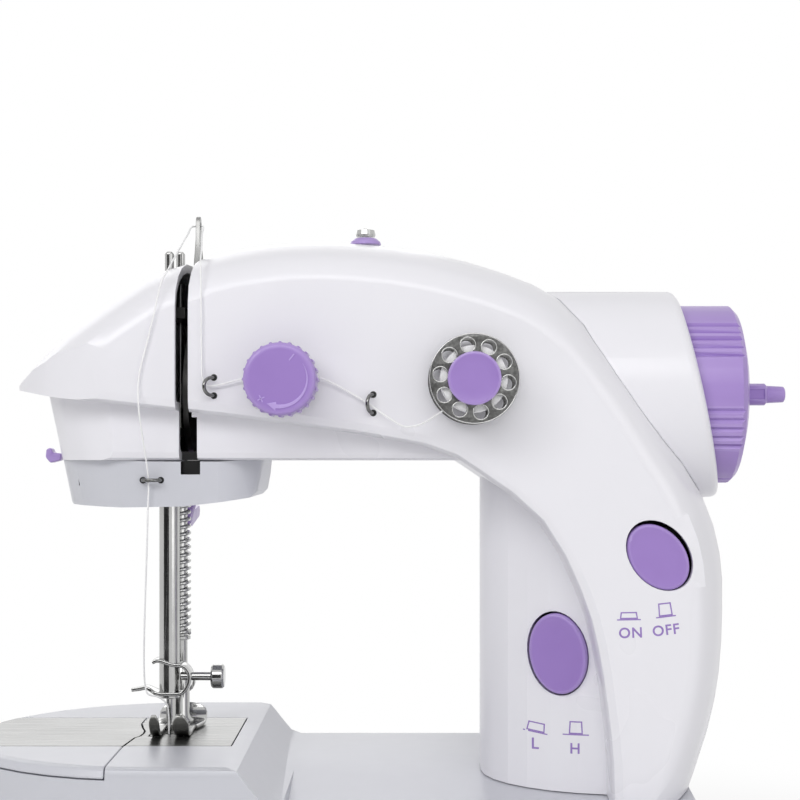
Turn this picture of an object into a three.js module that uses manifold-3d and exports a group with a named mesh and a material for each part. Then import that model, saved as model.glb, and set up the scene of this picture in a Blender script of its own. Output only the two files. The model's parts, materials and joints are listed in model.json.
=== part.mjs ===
// Compact electric sewing machine: a small battery and mains model that stands on its own base.
// Millimetres, +Z up. The needle side faces -Y, the handwheel is at +X and the feet stand on z = 0.
import * as THREE from 'three';
import { mergeVertices } from 'three/addons/utils/BufferGeometryUtils.js';
import Module from 'manifold-3d';

const wasm = await Module();
wasm.setup();

// ---------------------------------------------------------------------------
// Driving dimensions
// ---------------------------------------------------------------------------
const wall = 2; // moulded wall of every casing
const gap = 0.3; // seating and running clearance between neighbours
const beyond = 300; // past the machine on every side, for cuts

const baseLeft = -100;
const baseRight = 74;
const baseDepth = 95;
const baseCornerRadius = 22;
const baseRound = 2; // rims of the base moulding
const baseTaper = 8; // the right end leans in by this much towards the floor
const leftEndLength = 50; // the base's left end is half an ellipse this long
const footHeight = 3;
const footRadius = 5;
const blockTop = 64; // sewing surface
const blockShoulder = -33; // right end of the block's flat top
const flankFoot = -22.4; // where the block's flank meets the bed
const deckThickness = 4.5; // the block's top, with the recesses for the plates in it
const bedTop = 55.6; // lower bed between the block and the pillar
const bedCreaseY = 5; // the bed is level behind this line and slopes forward of it
const bedSlope = 0.1;

const skinDepth = 32; // half depth of the raised skin
const skinRound = 2.5;
const crownFall = 12; // the back of the C falls by this from its crest to the front and rear faces
const crestHalf = 1; // half depth of the level crest
const panelDepth = 25; // half depth of the recessed panels under the arm
const panelRound = 2;
const headLeft = -77.5; // at the arm's underside
const endLean = 0.22; // the head's left end leans out by this much for each mm up
const bowStart = -50; // the head's left end is rounded in plan from here
const armUnderside = 131;
const pillarLeft = 25;
const pillarEdgeDepth = 3; // half depth of the pillar at its left edge
const pillarBulge = 20; // how far its panel bulges from there
const pillarCrestX = 60; // where the bulge is deepest
const housingBottom = 120; // needle-bar housing under the head
const housingRight = -27.2;
const housingCorner = 14;

const shaftZ = 147.1;
const shaftRadius = 3;
const stroke = 24; // of the needle bar
const needleX = -51.3;
const needleY = -3;
const needleBarRadius = 2.5;
const needleTip = 49;
const presserX = -50.2;
const presserY = 9;
const presserBarRadius = 1.75;
const barTopRadius = 1.15; // both bars are turned down to this where they pass the hood
const slotX = -44.5; // take-up slot's middle
const slotWidth = 3;
const slotBottom = 127.7;
const slotFootTop = 141;
const slotFloorDepth = 19.5; // below the arm the slot is only open in front of this

const wheelRadius = 21.8;
const wheelLeft = 70;
const wheelRim = 86.8;
const wheelFace = 90;
const windingSpindleLength = 10;
const collarRadius = 25.25; // white collar round the handwheel

const knobX = -21.2; // thread tension
const knobZ = 149;
const knobRadius = 8.2;
const knobStandOff = 14; // the knob's face stands this far in front of the skin
const knobFront = -skinDepth - knobStandOff;
const spindleX = 21.5; // supply bobbin
const spindleZ = 149.1;
const spindleRadius = 2.4;
const bobbinRadius = 10;
const bobbinWidth = 11;
const bobbinHub = 4;

const timingX = 31.5; // timing belt from the main shaft down to the lower shaft
const beltX = 44.6; // motor belt
const beltWidth = 4;
const lowerShaftZ = 36;
const lowerShaftRadius = 2.5;
const hookRadius = 13;

const buttonTravel = 2.5;

// ---------------------------------------------------------------------------
// Geometry helpers
// ---------------------------------------------------------------------------
const v2 = (x, y) => new THREE.Vector2(x, y);
const v3 = (x, y, z) => new THREE.Vector3(x, y, z);

function solidFrom(geometry) {
  const plain = geometry.clone();
  plain.deleteAttribute('normal');
  plain.deleteAttribute('uv');
  const merged = mergeVertices(plain, 1e-4);
  const index = merged.index.array;
  const kept = [];
  for (let i = 0; i < index.length; i += 3) {
    const [a, b, c] = [index[i], index[i + 1], index[i + 2]];
    if (a !== b && b !== c && c !== a) {
      kept.push(a, b, c);
    }
  }
  return new wasm.Manifold(
    new wasm.Mesh({
      numProp: 3,
      vertProperties: new Float32Array(merged.attributes.position.array),
      triVerts: new Uint32Array(kept),
    }),
  );
}

function geometryFrom(solid) {
  const mesh = solid.getMesh();
  const geometry = new THREE.BufferGeometry();
  geometry.setAttribute('position', new THREE.BufferAttribute(mesh.vertProperties, 3));
  geometry.setIndex(new THREE.BufferAttribute(mesh.triVerts, 1));
  geometry.computeVertexNormals();
  return geometry;
}

const join = (first, ...others) => others.reduce((sum, solid) => sum.add(solid), first);
const cut = (first, ...others) => others.reduce((rest, solid) => rest.subtract(solid), first);

// Outlines are lists of Vector2 that run anticlockwise.
const outline = (points) => (THREE.ShapeUtils.area(points) < 0 ? points.slice().reverse() : points);
const curveThrough = (points, perSpan) =>
  new THREE.SplineCurve(points).getPoints((points.length - 1) * perSpan);

function arc(x, y, radiusX, radiusY, fromDegrees, toDegrees, steps) {
  const points = [];
  for (let i = 0; i <= steps; i += 1) {
    const angle = THREE.MathUtils.degToRad(fromDegrees + ((toDegrees - fromDegrees) * i) / steps);
    points.push(v2(x + radiusX * Math.cos(angle), y + radiusY * Math.sin(angle)));
  }
  return points;
}

const circle = (radius, sides) => arc(0, 0, radius, radius, 0, 360 - 360 / sides, sides - 1);

// Moves every side of an outline inwards by the same distance, with mitred corners.
function inset(points, distance) {
  return points.map((point, i) => {
    const before = points[(i + points.length - 1) % points.length];
    const after = points[(i + 1) % points.length];
    const into = point.clone().sub(before).normalize();
    const out = after.clone().sub(point).normalize();
    const sideA = v2(-into.y, into.x);
    const sideB = v2(-out.y, out.x);
    const mitre = sideA.clone().add(sideB).normalize();
    return point.clone().addScaledVector(mitre, distance / mitre.dot(sideB));
  });
}

// A strip of even thickness along a smooth line through the points.
function strip(points, thickness, steps) {
  const line = new THREE.SplineCurve(points);
  const side = (distance) => {
    const edge = [];
    for (let i = 0; i <= steps; i += 1) {
      const along = line.getTangent(i / steps);
      edge.push(line.getPoint(i / steps).add(v2(-along.y * distance, along.x * distance)));
    }
    return edge;
  };
  return outline([...side(thickness / 2), ...side(-thickness / 2).reverse()]);
}

// A prism with rounded rims. The outline keeps its size, and the rims fall inside it.
// The rims can reach further along the prism than they fall, for a domed form.
function prism(points, length, round = 0, roundSteps = 2, roundLength = round) {
  return new THREE.ExtrudeGeometry(new THREE.Shape(points), {
    depth: length - 2 * roundLength,
    bevelEnabled: round > 0,
    bevelThickness: roundLength,
    bevelSize: round,
    bevelOffset: -round,
    bevelSegments: roundSteps,
  }).translate(0, 0, roundLength);
}

// Prisms of an XZ outline along Y, of a YZ outline along X and of an XY outline along Z.
function alongY(points, yFrom, yTo, round, roundSteps, roundLength) {
  const geometry = prism(points, yTo - yFrom, round, roundSteps, roundLength);
  return solidFrom(geometry.rotateX(Math.PI / 2).translate(0, yTo, 0));
}

function alongX(points, xFrom, xTo, round, roundSteps) {
  const geometry = prism(points, xTo - xFrom, round, roundSteps);
  const turn = new THREE.Matrix4().makeBasis(v3(0, 1, 0), v3(0, 0, 1), v3(1, 0, 0));
  return solidFrom(geometry.applyMatrix4(turn).translate(xFrom, 0, 0));
}

function alongZ(points, zFrom, zTo, round, roundSteps) {
  return solidFrom(prism(points, zTo - zFrom, round, roundSteps).translate(0, 0, zFrom));
}

function box(xFrom, xTo, yFrom, yTo, zFrom, zTo) {
  const geometry = new THREE.BoxGeometry(xTo - xFrom, yTo - yFrom, zTo - zFrom);
  geometry.translate((xFrom + xTo) / 2, (yFrom + yTo) / 2, (zFrom + zTo) / 2);
  return solidFrom(geometry);
}

// Round bars along each axis, given by the two other coordinates of their middle line.
function rodX(y, z, radius, xFrom, xTo, sides = 16) {
  const geometry = new THREE.CylinderGeometry(radius, radius, xTo - xFrom, sides);
  return solidFrom(geometry.rotateZ(Math.PI / 2).translate((xFrom + xTo) / 2, y, z));
}

function rodY(x, z, radius, yFrom, yTo, sides = 16) {
  const geometry = new THREE.CylinderGeometry(radius, radius, yTo - yFrom, sides);
  return solidFrom(geometry.translate(x, (yFrom + yTo) / 2, z));
}

function rodZ(x, y, radius, zFrom, zTo, sides = 16) {
  const geometry = new THREE.CylinderGeometry(radius, radius, zTo - zFrom, sides);
  return solidFrom(geometry.rotateX(Math.PI / 2).translate(x, y, (zFrom + zTo) / 2));
}

// Turned pieces. A profile is a list of [radius, place along the axis] that rises along the axis.
const turned = (profile, sides) =>
  new THREE.LatheGeometry(profile.map(([radius, place]) => v2(radius, place)), sides);
const turnedZ = (x, y, profile, sides = 16) =>
  solidFrom(turned(profile, sides).rotateX(Math.PI / 2).translate(x, y, 0));
const turnedX = (y, z, profile, sides = 16) =>
  solidFrom(turned(profile, sides).rotateZ(-Math.PI / 2).translate(0, y, z));
const turnedY = (x, z, profile, sides = 16) => solidFrom(turned(profile, sides).translate(x, 0, z));

// Round wire or thread that follows a path.
const wire = (path, radius, steps, sides) =>
  solidFrom(
    new THREE.ExtrudeGeometry(new THREE.Shape(circle(radius, sides)), {
      steps,
      bevelEnabled: false,
      extrudePath: path,
    }),
  );
const pathThrough = (points) => new THREE.CatmullRomCurve3(points, false, 'centripetal');

class Helix extends THREE.Curve {
  constructor(centre, axis, radius, pitch, turns) {
    super();
    Object.assign(this, { centre, axis, radius, pitch, turns });
  }

  getPoint(t, target = new THREE.Vector3()) {
    const angle = 2 * Math.PI * this.turns * t;
    const rise = this.pitch * this.turns * t;
    const a = this.radius * Math.cos(angle);
    const b = this.radius * Math.sin(angle);
    const offset = this.axis === 'z' ? v3(a, b, rise) : v3(a, rise, b);
    return target.copy(this.centre).add(offset);
  }
}

function coilSpring(centre, axis, radius, wireRadius, pitch, turns) {
  const stepsPerTurn = 8;
  const path = new Helix(centre, axis, radius, pitch, turns);
  return wire(path, wireRadius, Math.round(turns * stepsPerTurn), 4);
}

// ---------------------------------------------------------------------------
// Materials and the group
// ---------------------------------------------------------------------------
const finish = (color, roughness, metalness) =>
  new THREE.MeshStandardMaterial({ color, roughness, metalness });
const whitePlastic = finish(0xecebf0, 0.25, 0);
const purplePlastic = finish(0xa784cd, 0.35, 0);
const steel = finish(0xb9bab8, 0.25, 1);
const darkSteel = finish(0x6d6d6c, 0.35, 1);
const blackPlastic = finish(0x1c1b1d, 0.5, 0);
const rubber = finish(0x2a2a2c, 0.85, 0);
const brass = finish(0xb59a55, 0.35, 1);
const cotton = finish(0xf4f3f1, 0.8, 0);

const machine = new THREE.Group();

function add(name, solid, material) {
  const mesh = new THREE.Mesh(geometryFrom(solid), material);
  mesh.name = name;
  machine.add(mesh);
}

// ---------------------------------------------------------------------------
// Body: two hollow half shells, each with a C-shaped raised skin over recessed panels
// ---------------------------------------------------------------------------
// The back of the C, from the nose over the arm and down the right side.
const crown = [
  v2(-81, 155.7),
  v2(-74, 162.4),
  v2(-56.5, 174.6),
  v2(-46.7, 178.4),
  v2(-34, 182),
  v2(-19.5, 183.7),
  v2(-4, 183.4),
  v2(12.6, 181.2),
  v2(30, 176.5),
  v2(44, 169.9),
  v2(56, 157.5),
  v2(68, 140),
  v2(78.4, 122.5),
  v2(82.6, 109),
  v2(83.2, 96),
  v2(82.4, 81),
  v2(79.6, 67),
  v2(73.9, 50),
];
// Height of the C's back at a place along the arm.
function crownHeight(x) {
  const points = curveThrough(crown, 8);
  const next = points.findIndex((point) => point.x >= x);
  const [left, right] = [points[next - 1], points[next]];
  return THREE.MathUtils.mapLinear(x, left.x, right.x, left.y, right.y);
}
// The inside of the C, from the foot of the pillar up and along the arm to the nose.
const lip = [
  v2(53.4, 50),
  v2(53.2, 62.4),
  v2(51.8, 75.4),
  v2(49.7, 88.5),
  v2(46, 101),
  v2(37.4, 117),
  v2(23, 128.4),
  v2(10.5, 134.4),
  v2(-22, 139.6),
  v2(-46.6, 142.5),
  v2(-75, 145.6),
];
const nose = v2(-88, 148);
const skinOutline = outline([nose, ...curveThrough(crown, 2), ...curveThrough(lip, 2)]);

// The panels lie just inside the back of the C, where the skin covers them.
const underSkin = 1;
const armTop = crown.slice(2, 11).map((point) => v2(point.x, point.y - underSkin));
const armOutline = outline([
  v2(headLeft - 1, armUnderside),
  v2(pillarCrestX, armUnderside),
  ...armTop.reverse(),
  v2(headLeft - 4.6, nose.y + 2),
]);
const pillarSide = crown.slice(11).map((point) => v2(point.x - underSkin, point.y));
const pillarFrontView = outline([
  v2(pillarLeft, bedTop - 3 * wall),
  ...pillarSide.reverse(),
  v2(pillarLeft, armUnderside + 4 * wall),
]);
const pillarRight = crown[14].x + wall; // past the widest point of the C

// The pillar's plan: shallow at its left edge and bulging towards its middle.
function pillarPlan(offset) {
  const edge = pillarEdgeDepth - offset;
  const reach = pillarCrestX - pillarLeft - offset;
  const front = arc(pillarCrestX, -edge, reach, pillarBulge, 180, 270, 8);
  const back = arc(pillarCrestX, edge, reach, pillarBulge, 90, 180, 8);
  return [...front, v2(pillarRight, -edge - pillarBulge), v2(pillarRight, edge + pillarBulge), ...back];
}

// The head's plan: its left end is rounded like a bow.
const bowSteps = 12;
const bowPlan = (leftEnd, depth) => [
  ...arc(bowStart, 0, bowStart - leftEnd, depth, 90, 270, bowSteps),
  v2(pillarRight, -depth),
  v2(pillarRight, depth),
];

// Stands a plan up so that the bow leans: drawn in below the arm's underside, pushed out above it.
const leanFoot = 91;
const leanTop = 191;
function leaning(plan) {
  const geometry = geometryFrom(alongZ(plan, leanFoot, leanTop));
  const corners = geometry.attributes.position;
  for (let i = 0; i < corners.count; i += 1) {
    const reach = Math.max(bowStart - corners.getX(i), 0);
    const stretch = (endLean * (corners.getZ(i) - armUnderside)) / (bowStart - headLeft);
    corners.setX(i, corners.getX(i) - reach * stretch);
  }
  return solidFrom(geometry);
}

// Everything under the back of the C, which is domed from front to rear.
const crownSteps = 5;
const crownEnvelope = outline([
  nose,
  ...curveThrough(crown, 2),
  v2(pillarCrestX, -beyond),
  v2(-beyond, -beyond),
  v2(nose.x - 30, nose.y - 50),
]);

// The body as one solid: offset 0 is its outside, and a positive offset lies that far inside.
function body(offset) {
  const bow = (leftEnd, depth) => alongZ(bowPlan(leftEnd + offset, depth), 0, beyond);
  const skinFront = offset - skinDepth;
  const panelFront = offset - panelDepth;
  const skin = alongY(inset(skinOutline, offset), skinFront, -skinFront, skinRound - offset / 2);
  const arm = alongY(inset(armOutline, offset), panelFront, -panelFront, panelRound);
  const pillar = alongY(inset(pillarFrontView, offset), -skinDepth, skinDepth);
  const envelope = alongY(
    inset(crownEnvelope, offset),
    skinFront,
    -skinFront,
    crownFall - offset,
    crownSteps,
    -skinFront - crestHalf,
  );
  return join(
    skin.intersect(bow(nose.x, skinDepth + wall)),
    arm.intersect(leaning(bowPlan(headLeft + offset, panelDepth + wall))),
    pillar.intersect(alongZ(pillarPlan(offset), 0, beyond)),
  ).intersect(envelope);
}

// Everything below the bed's surface, raised by a distance.
function belowBed(above) {
  const crease = bedTop + above;
  const section = [
    v2(-beyond, 0),
    v2(beyond, 0),
    v2(beyond, crease),
    v2(bedCreaseY, crease),
    v2(-beyond, crease - bedSlope * (bedCreaseY + beyond)),
  ];
  return alongX(section, -beyond, beyond);
}

const wheelGap = 3 * gap;
const slotLeft = slotX - slotWidth / 2;
const slotRight = slotX + slotWidth / 2;
const slotBack = 7.5; // behind the shaft's middle
const armInside = armUnderside + wall;
const slotFootRight = slotRight + 1.2; // under the lip the slot is wider
const slotFoot = box(slotLeft + gap, slotFootRight, -beyond, -slotFloorDepth, slotBottom, slotFootTop);
const barHole = (x, y) => rodZ(x, y, barTopRadius + gap, 0, beyond, 12);
const casing = cut(
  body(0),
  body(wall),
  rodX(0, shaftZ, wheelRadius + wheelGap, wheelLeft - wall, beyond, 40),
  rodX(0, shaftZ, shaftRadius + 2 * gap, pillarLeft, beyond),
  box(slotLeft, slotRight, -beyond, slotBack, armInside + 1, beyond),
  box(slotLeft, slotRight, -beyond, -slotFloorDepth, slotBottom, beyond),
  slotFoot,
  belowBed(gap),
  barHole(needleX, needleY),
  barHole(presserX, presserY),
);

// Bars and the slot pass through the underside of the arm here.
const barRoom = { left: 8, front: 16, back: 18 };
const headOpening = box(
  presserX - barRoom.left,
  slotRight,
  -barRoom.front,
  barRoom.back,
  armUnderside - wall,
  armInside + 1,
);

// Both push buttons are the same oval plug, each on its own axis through the panel.
const buttons = {
  // long and short are half the oval's length and width
  power: {
    x: 64.2,
    z: 109.4,
    face: 0.6 - skinDepth,
    long: 8.15,
    short: 5.95,
    turn: -50,
    swing: 0,
    seat: 3.6,
    pressed: true,
  },
  speed: {
    x: 41.6,
    z: 85.7,
    face: -21.3,
    long: 9.2,
    short: 6.6,
    turn: -80,
    swing: -20,
    seat: 5.2,
    pressed: false,
  },
};
const buttonGap = 0.75;
const buttonDepth = 9;
const buttonRound = 0.5;

// Places a shape that was made behind its face at z = 0 on a button's axis.
function onButtonAxis({ x, z, face, turn, swing }, geometry) {
  geometry.rotateZ(THREE.MathUtils.degToRad(turn));
  geometry.rotateX(Math.PI / 2);
  geometry.rotateZ(THREE.MathUtils.degToRad(swing));
  return solidFrom(geometry.translate(x, face, z));
}

// An oval prism on a button's axis, from a depth behind its face to a height in front of it.
function ovalPlug(button, grow, inFront, behind, round = 0) {
  const oval = arc(0, 0, button.long + grow, button.short + grow, 0, 350, 35);
  return onButtonAxis(button, prism(oval, inFront + behind, round).translate(0, 0, -behind));
}

// Wire guides stand out of the front, with both ends in holes one above the other or side by side.
const guideWire = 0.4;
const guides = {
  thread_guide_left: { x: -37.2, z: 147.8, span: 2, bow: 3 },
  thread_guide_right: { x: -1, z: 143.9, span: 2, bow: 2.4 },
};
const lowerGuide = { x: -52.4, z: 126.4, span: 2, bow: 2.6 };
const guideHole = (x, z) => rodY(x, z, guideWire + gap, -beyond, 0, 8);

const tensionStudRadius = 2;
const frontHoles = [
  rodY(knobX, knobZ, tensionStudRadius + gap, -beyond, 0, 12),
  rodY(spindleX, spindleZ, spindleRadius + gap, -beyond, 0, 12),
  ...Object.values(guides).flatMap(({ x, z, span }) => [guideHole(x, z + span), guideHole(x, z - span)]),
  ...Object.values(buttons).map((button) => ovalPlug(button, buttonGap, buttonDepth, buttonDepth)),
];
const frontHalf = box(-beyond, beyond, -beyond, -gap / 2, 0, beyond);
const rearHalf = box(-beyond, beyond, gap / 2, beyond, 0, beyond);
add('front_shell', cut(casing.intersect(frontHalf), headOpening, ...frontHoles), whitePlastic);
add('rear_shell', cut(casing.intersect(rearHalf), headOpening), whitePlastic);

// Needle-bar housing: a shallow cup under the head, with two cheeks inside for the lifter's pin.
const housingDepth = panelDepth - 1;
const housingTop = armUnderside - gap;
const housingOutline = outline([
  v2(headLeft - 3, housingTop),
  v2(headLeft + 1.5, housingBottom + 1.5),
  v2(headLeft + 3.8, housingBottom + 0.4),
  v2(bowStart - 10, housingBottom),
  v2(bowStart + 5, housingBottom + 0.3),
  v2(housingRight - 9, housingBottom + 1.3),
  v2(housingRight - 3, housingBottom + 2.2),
  v2(housingRight - 1.5, housingBottom + 3.6),
  v2(housingRight, housingTop),
]);
function housingBlock(offset) {
  const cornerX = housingRight - housingCorner;
  const cornerY = housingDepth - housingCorner;
  const radius = housingCorner - offset;
  const plan = [
    ...arc(bowStart, 0, bowStart - headLeft - offset, housingDepth - offset, 90, 270, bowSteps),
    ...arc(cornerX, -cornerY, radius, radius, 270, 360, 5),
    ...arc(cornerX, cornerY, radius, radius, 0, 90, 5),
  ];
  const front = alongY(inset(housingOutline, offset), offset - housingDepth, housingDepth - offset);
  return front.intersect(leaning(plan));
}
const lifterPinY = 21;
const lifterPinZ = 124.5;
const lifterPinRadius = 1;
const lifterHalfWidth = 3.6;
const cheekThickness = 3;
const lifterSide = lifterHalfWidth + gap;
const cheek = (xFrom) =>
  box(xFrom, xFrom + cheekThickness, lifterPinY - 5, lifterPinY + 2.5, housingBottom + 1, housingTop);
const mouthHalfDepth = 15;
const housingMouth = box(
  headLeft + 6.3,
  housingRight - wall - 1,
  -mouthHalfDepth,
  mouthHalfDepth,
  armUnderside - 6,
  armUnderside,
);
const slotMouthRight = slotFootRight + 0.6;
const slotMouth = box(slotLeft + gap, slotMouthRight, -beyond, -slotFloorDepth, slotBottom, armUnderside);
const slotBacking = box(
  slotLeft - wall,
  slotMouthRight + wall,
  -housingDepth,
  wall - slotFloorDepth,
  housingBottom,
  armUnderside,
);
const housingShell = join(
  cut(housingBlock(0), housingBlock(wall), housingMouth),
  slotBacking.intersect(housingBlock(0)),
  cheek(presserX - lifterSide - cheekThickness).intersect(housingBlock(0)),
  cheek(presserX + lifterSide).intersect(housingBlock(0)),
);
const pinReach = lifterSide + wall + gap;
add(
  'head_housing',
  cut(
    housingShell,
    rodX(lifterPinY, lifterPinZ, lifterPinRadius + gap, presserX - pinReach, presserX + pinReach, 10),
    box(presserX - lifterSide, presserX + lifterSide, presserY + 4, beyond, 0, armUnderside),
    rodZ(needleX, needleY, needleBarRadius + gap, 0, armUnderside),
    rodZ(presserX, presserY, presserBarRadius + gap, 0, armUnderside),
    slotMouth,
    guideHole(lowerGuide.x - lowerGuide.span, lowerGuide.z),
    guideHole(lowerGuide.x + lowerGuide.span, lowerGuide.z),
  ),
  whitePlastic,
);

// Collar round the handwheel, cut to the body's curve, with a slanted end.
const collarLeft = 41; // where the collar comes out of the back of the C
const collarEndTop = 72.6;
const collarEndBottom = 83.6;
const collarTall = collarRadius + 5;
const collarMiddle = (collarEndTop + collarEndBottom) / 2;
const collarTurn = 5.5; // degrees; the slanted end also turns back, so that the wheel shows more in front
const collarSlant = outline([
  v2(pillarLeft, shaftZ + collarTall),
  v2(pillarLeft, shaftZ - collarTall),
  v2(collarEndBottom + 1, shaftZ - collarTall),
  v2(collarEndTop - 1, shaftZ + collarTall),
]);
const slantedCut = prism(collarSlant, 2 * beyond).rotateX(Math.PI / 2).translate(-collarMiddle, beyond, 0);
slantedCut.rotateZ(THREE.MathUtils.degToRad(-collarTurn)).translate(collarMiddle, 0, 0);
const collarBar = rodX(0, shaftZ, collarRadius, collarLeft, wheelRim + wall, 40);
add(
  'wheel_collar',
  cut(
    collarBar.intersect(solidFrom(slantedCut)),
    rodX(0, shaftZ, wheelRadius + wheelGap, 0, beyond, 40),
    body(-gap),
  ),
  whitePlastic,
);

// ---------------------------------------------------------------------------
// Base: a tall block under the needle, a lower bed and a rounded right end
// ---------------------------------------------------------------------------
function basePlan(offset) {
  const depth = baseDepth / 2 - offset;
  const corner = baseCornerRadius - offset;
  const cornerX = baseRight - baseCornerRadius;
  const cornerY = baseDepth / 2 - baseCornerRadius;
  return [
    ...arc(baseLeft + leftEndLength, 0, leftEndLength - offset, depth, 90, 270, 20),
    ...arc(cornerX, -cornerY, corner, corner, 270, 360, 6),
    ...arc(cornerX, cornerY, corner, corner, 0, 90, 6),
  ];
}

// The block's right flank falls to the bed in an S.
const flank = [
  v2(blockShoulder, blockTop),
  v2(blockShoulder + 2.6, blockTop - 0.7),
  v2((blockShoulder + flankFoot) / 2, (blockTop + bedTop) / 2),
  v2(flankFoot - 2.4, bedTop + 0.7),
  v2(flankFoot + 1.5, bedTop - 0.8),
  v2(flankFoot + 2.5, bedTop - 6),
];

// The base as one solid: offset 0 is its outside, and a positive offset lies that far inside.
function base(offset, deck) {
  const plan = basePlan(offset);
  const blockSide = outline([
    v2(-beyond, 0),
    v2(flankFoot + 2.5 - offset, 0),
    ...flank.map((point) => v2(point.x - offset, point.y)).reverse(),
    v2(-beyond, blockTop),
  ]);
  const bedSide = outline([
    v2(-beyond, 0),
    v2(baseRight - baseTaper - offset, 0),
    v2(baseRight - offset, bedTop),
    v2(-beyond, bedTop),
  ]);
  const block = alongZ(plan, footHeight, blockTop - deck, baseRound);
  const bed = alongZ(plan, footHeight, bedTop - offset, baseRound);
  return join(
    block.intersect(alongY(blockSide, -beyond, beyond)),
    bed.intersect(alongY(bedSide, -beyond, beyond)).intersect(belowBed(-offset)),
  );
}

const plateThickness = 1;
const plateHalfDepth = 20;
const plateRight = -34.5;
const coverThickness = 2.5; // slide cover, plate included
const coverBack = plateHalfDepth + gap;
const plateSeat = blockTop - plateThickness - gap;

// The slit between the needle plate and the slide cover, seen from above.
const slitPoints = [
  v2(-60.3, 30),
  v2(-60.3, 10.6),
  v2(-57.9, 0.4),
  v2(-57.9, -6.9),
  v2(-59.7, -20),
  v2(-58.8, -baseDepth),
];
const slit = curveThrough(slitPoints, 2);
const plateLeft = -60; // where the needle plate's left edge starts before it is cut along the slit
const leftOfSlit = (margin) =>
  alongZ(
    outline([
      ...slit.map((point) => v2(point.x - margin, point.y)),
      v2(-beyond, slitPoints[5].y),
      v2(-beyond, slitPoints[0].y),
    ]),
    0,
    beyond,
  );
const wellFloor = 30;
const wellDepth = hookRadius + wall; // half depth of the well over the hook
const bobbinWell = box(baseLeft + 10, plateLeft - 2.5, -wellDepth, wellDepth, wellFloor, beyond);
const feedWellDepth = 12; // half depth of the well under the feed dog
const feedWell = box(plateLeft + 3, needleX + 10.3, -feedWellDepth, feedWellDepth, wellFloor, beyond);
const coverPocket = box(-beyond, 0, -beyond, coverBack, blockTop - coverThickness - gap, beyond);
const jackRadius = 3.2;
const jackX = 40;
const jackZ = 20;
const jackHole = rodY(jackX, jackZ, jackRadius + gap, 0, beyond, 12);
const beltRoom = 5; // room beside and in front of the timing belt and its pulley
const beltHole = box(
  timingX - 1,
  timingX + 2 * beltRoom,
  needleY - beltRoom - 3,
  2 * beltRoom - 1,
  bedTop - 2 * beltRoom,
  bedTop + 1,
);
add(
  'base_shell',
  cut(
    base(0, 0),
    base(wall, deckThickness),
    alongZ(basePlan(wall), 0, footHeight + wall + 2 * gap),
    leftOfSlit(-gap / 2).intersect(coverPocket),
    box(plateLeft, plateRight + gap, -coverBack, coverBack, plateSeat, beyond),
    bobbinWell,
    feedWell,
    jackHole,
    beltHole,
  ),
  whitePlastic,
);

// Bottom cover with a moulded battery tray, and the tray's door.
const doorLeft = -16;
const doorRight = 46;
const baseBack = baseDepth / 2;
const trayMargin = 15.5; // room for the socket between the battery tray and the base's back
const doorHalfDepth = baseBack - trayMargin;
const doorThickness = 0.9;
const coverTop = footHeight + wall;
const trayTop = 21.7;
const trayWall = 1.4;
const doorSeat = footHeight + doorThickness + gap;
const trayHalfDepth = doorHalfDepth - trayWall;
const coverRight = baseRight - baseTaper - wall - gap;
const bottomSheet = alongZ(basePlan(wall + gap), footHeight, coverTop).intersect(
  box(-beyond, coverRight, -beyond, beyond, 0, beyond),
);
add(
  'bottom_cover',
  cut(
    bottomSheet.add(box(doorLeft, doorRight, -doorHalfDepth, doorHalfDepth, footHeight, trayTop)),
    box(doorLeft + trayWall, doorRight - trayWall, -trayHalfDepth, trayHalfDepth, 0, trayTop - trayWall),
    box(doorLeft, doorRight, -doorHalfDepth, doorHalfDepth, 0, doorSeat),
  ),
  whitePlastic,
);
add(
  'battery_door',
  box(
    doorLeft + gap,
    doorRight - gap,
    gap - doorHalfDepth,
    doorHalfDepth - gap,
    footHeight,
    footHeight + doorThickness,
  ),
  whitePlastic,
);

const leftFeet = { x: baseLeft + 26, inset: 21.5 }; // inset from the base's front and back
const rightFeet = { x: baseRight - 22, inset: 15.5 };
const feet = {
  foot_front_left: [leftFeet.x, leftFeet.inset - baseBack],
  foot_rear_left: [leftFeet.x, baseBack - leftFeet.inset],
  foot_front_right: [rightFeet.x, rightFeet.inset - baseBack],
  foot_rear_right: [rightFeet.x, baseBack - rightFeet.inset],
};
const footTop = footHeight - gap;
const footProfile = [
  [0, 0],
  [footRadius - 0.8, 0],
  [footRadius, 0.8],
  [footRadius, footTop],
  [0, footTop],
];
Object.entries(feet).forEach(([name, [x, y]]) => {
  add(name, turnedZ(x, y, footProfile, 20), rubber);
});

// Steel needle plate, with the needle's hole and two slots for the feed dog.
const dogRows = [needleX - 3.5, needleX + 3.5];
const dogHalfWidth = 0.8;
const dogHalfLength = 6;
const dogStroke = 1.2;
const dogSlotWidth = dogHalfWidth + gap;
const dogSlotLength = dogHalfLength + dogStroke + gap;
const dogSlot = (x) =>
  box(x - dogSlotWidth, x + dogSlotWidth, -dogSlotLength, dogSlotLength, 0, beyond);
add(
  'needle_plate',
  cut(
    box(plateLeft, plateRight, -plateHalfDepth, plateHalfDepth, blockTop - plateThickness, blockTop),
    leftOfSlit(-gap),
    rodZ(needleX, needleY, 1.1, 0, beyond, 12),
    ...dogRows.map(dogSlot),
  ),
  steel,
);

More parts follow.
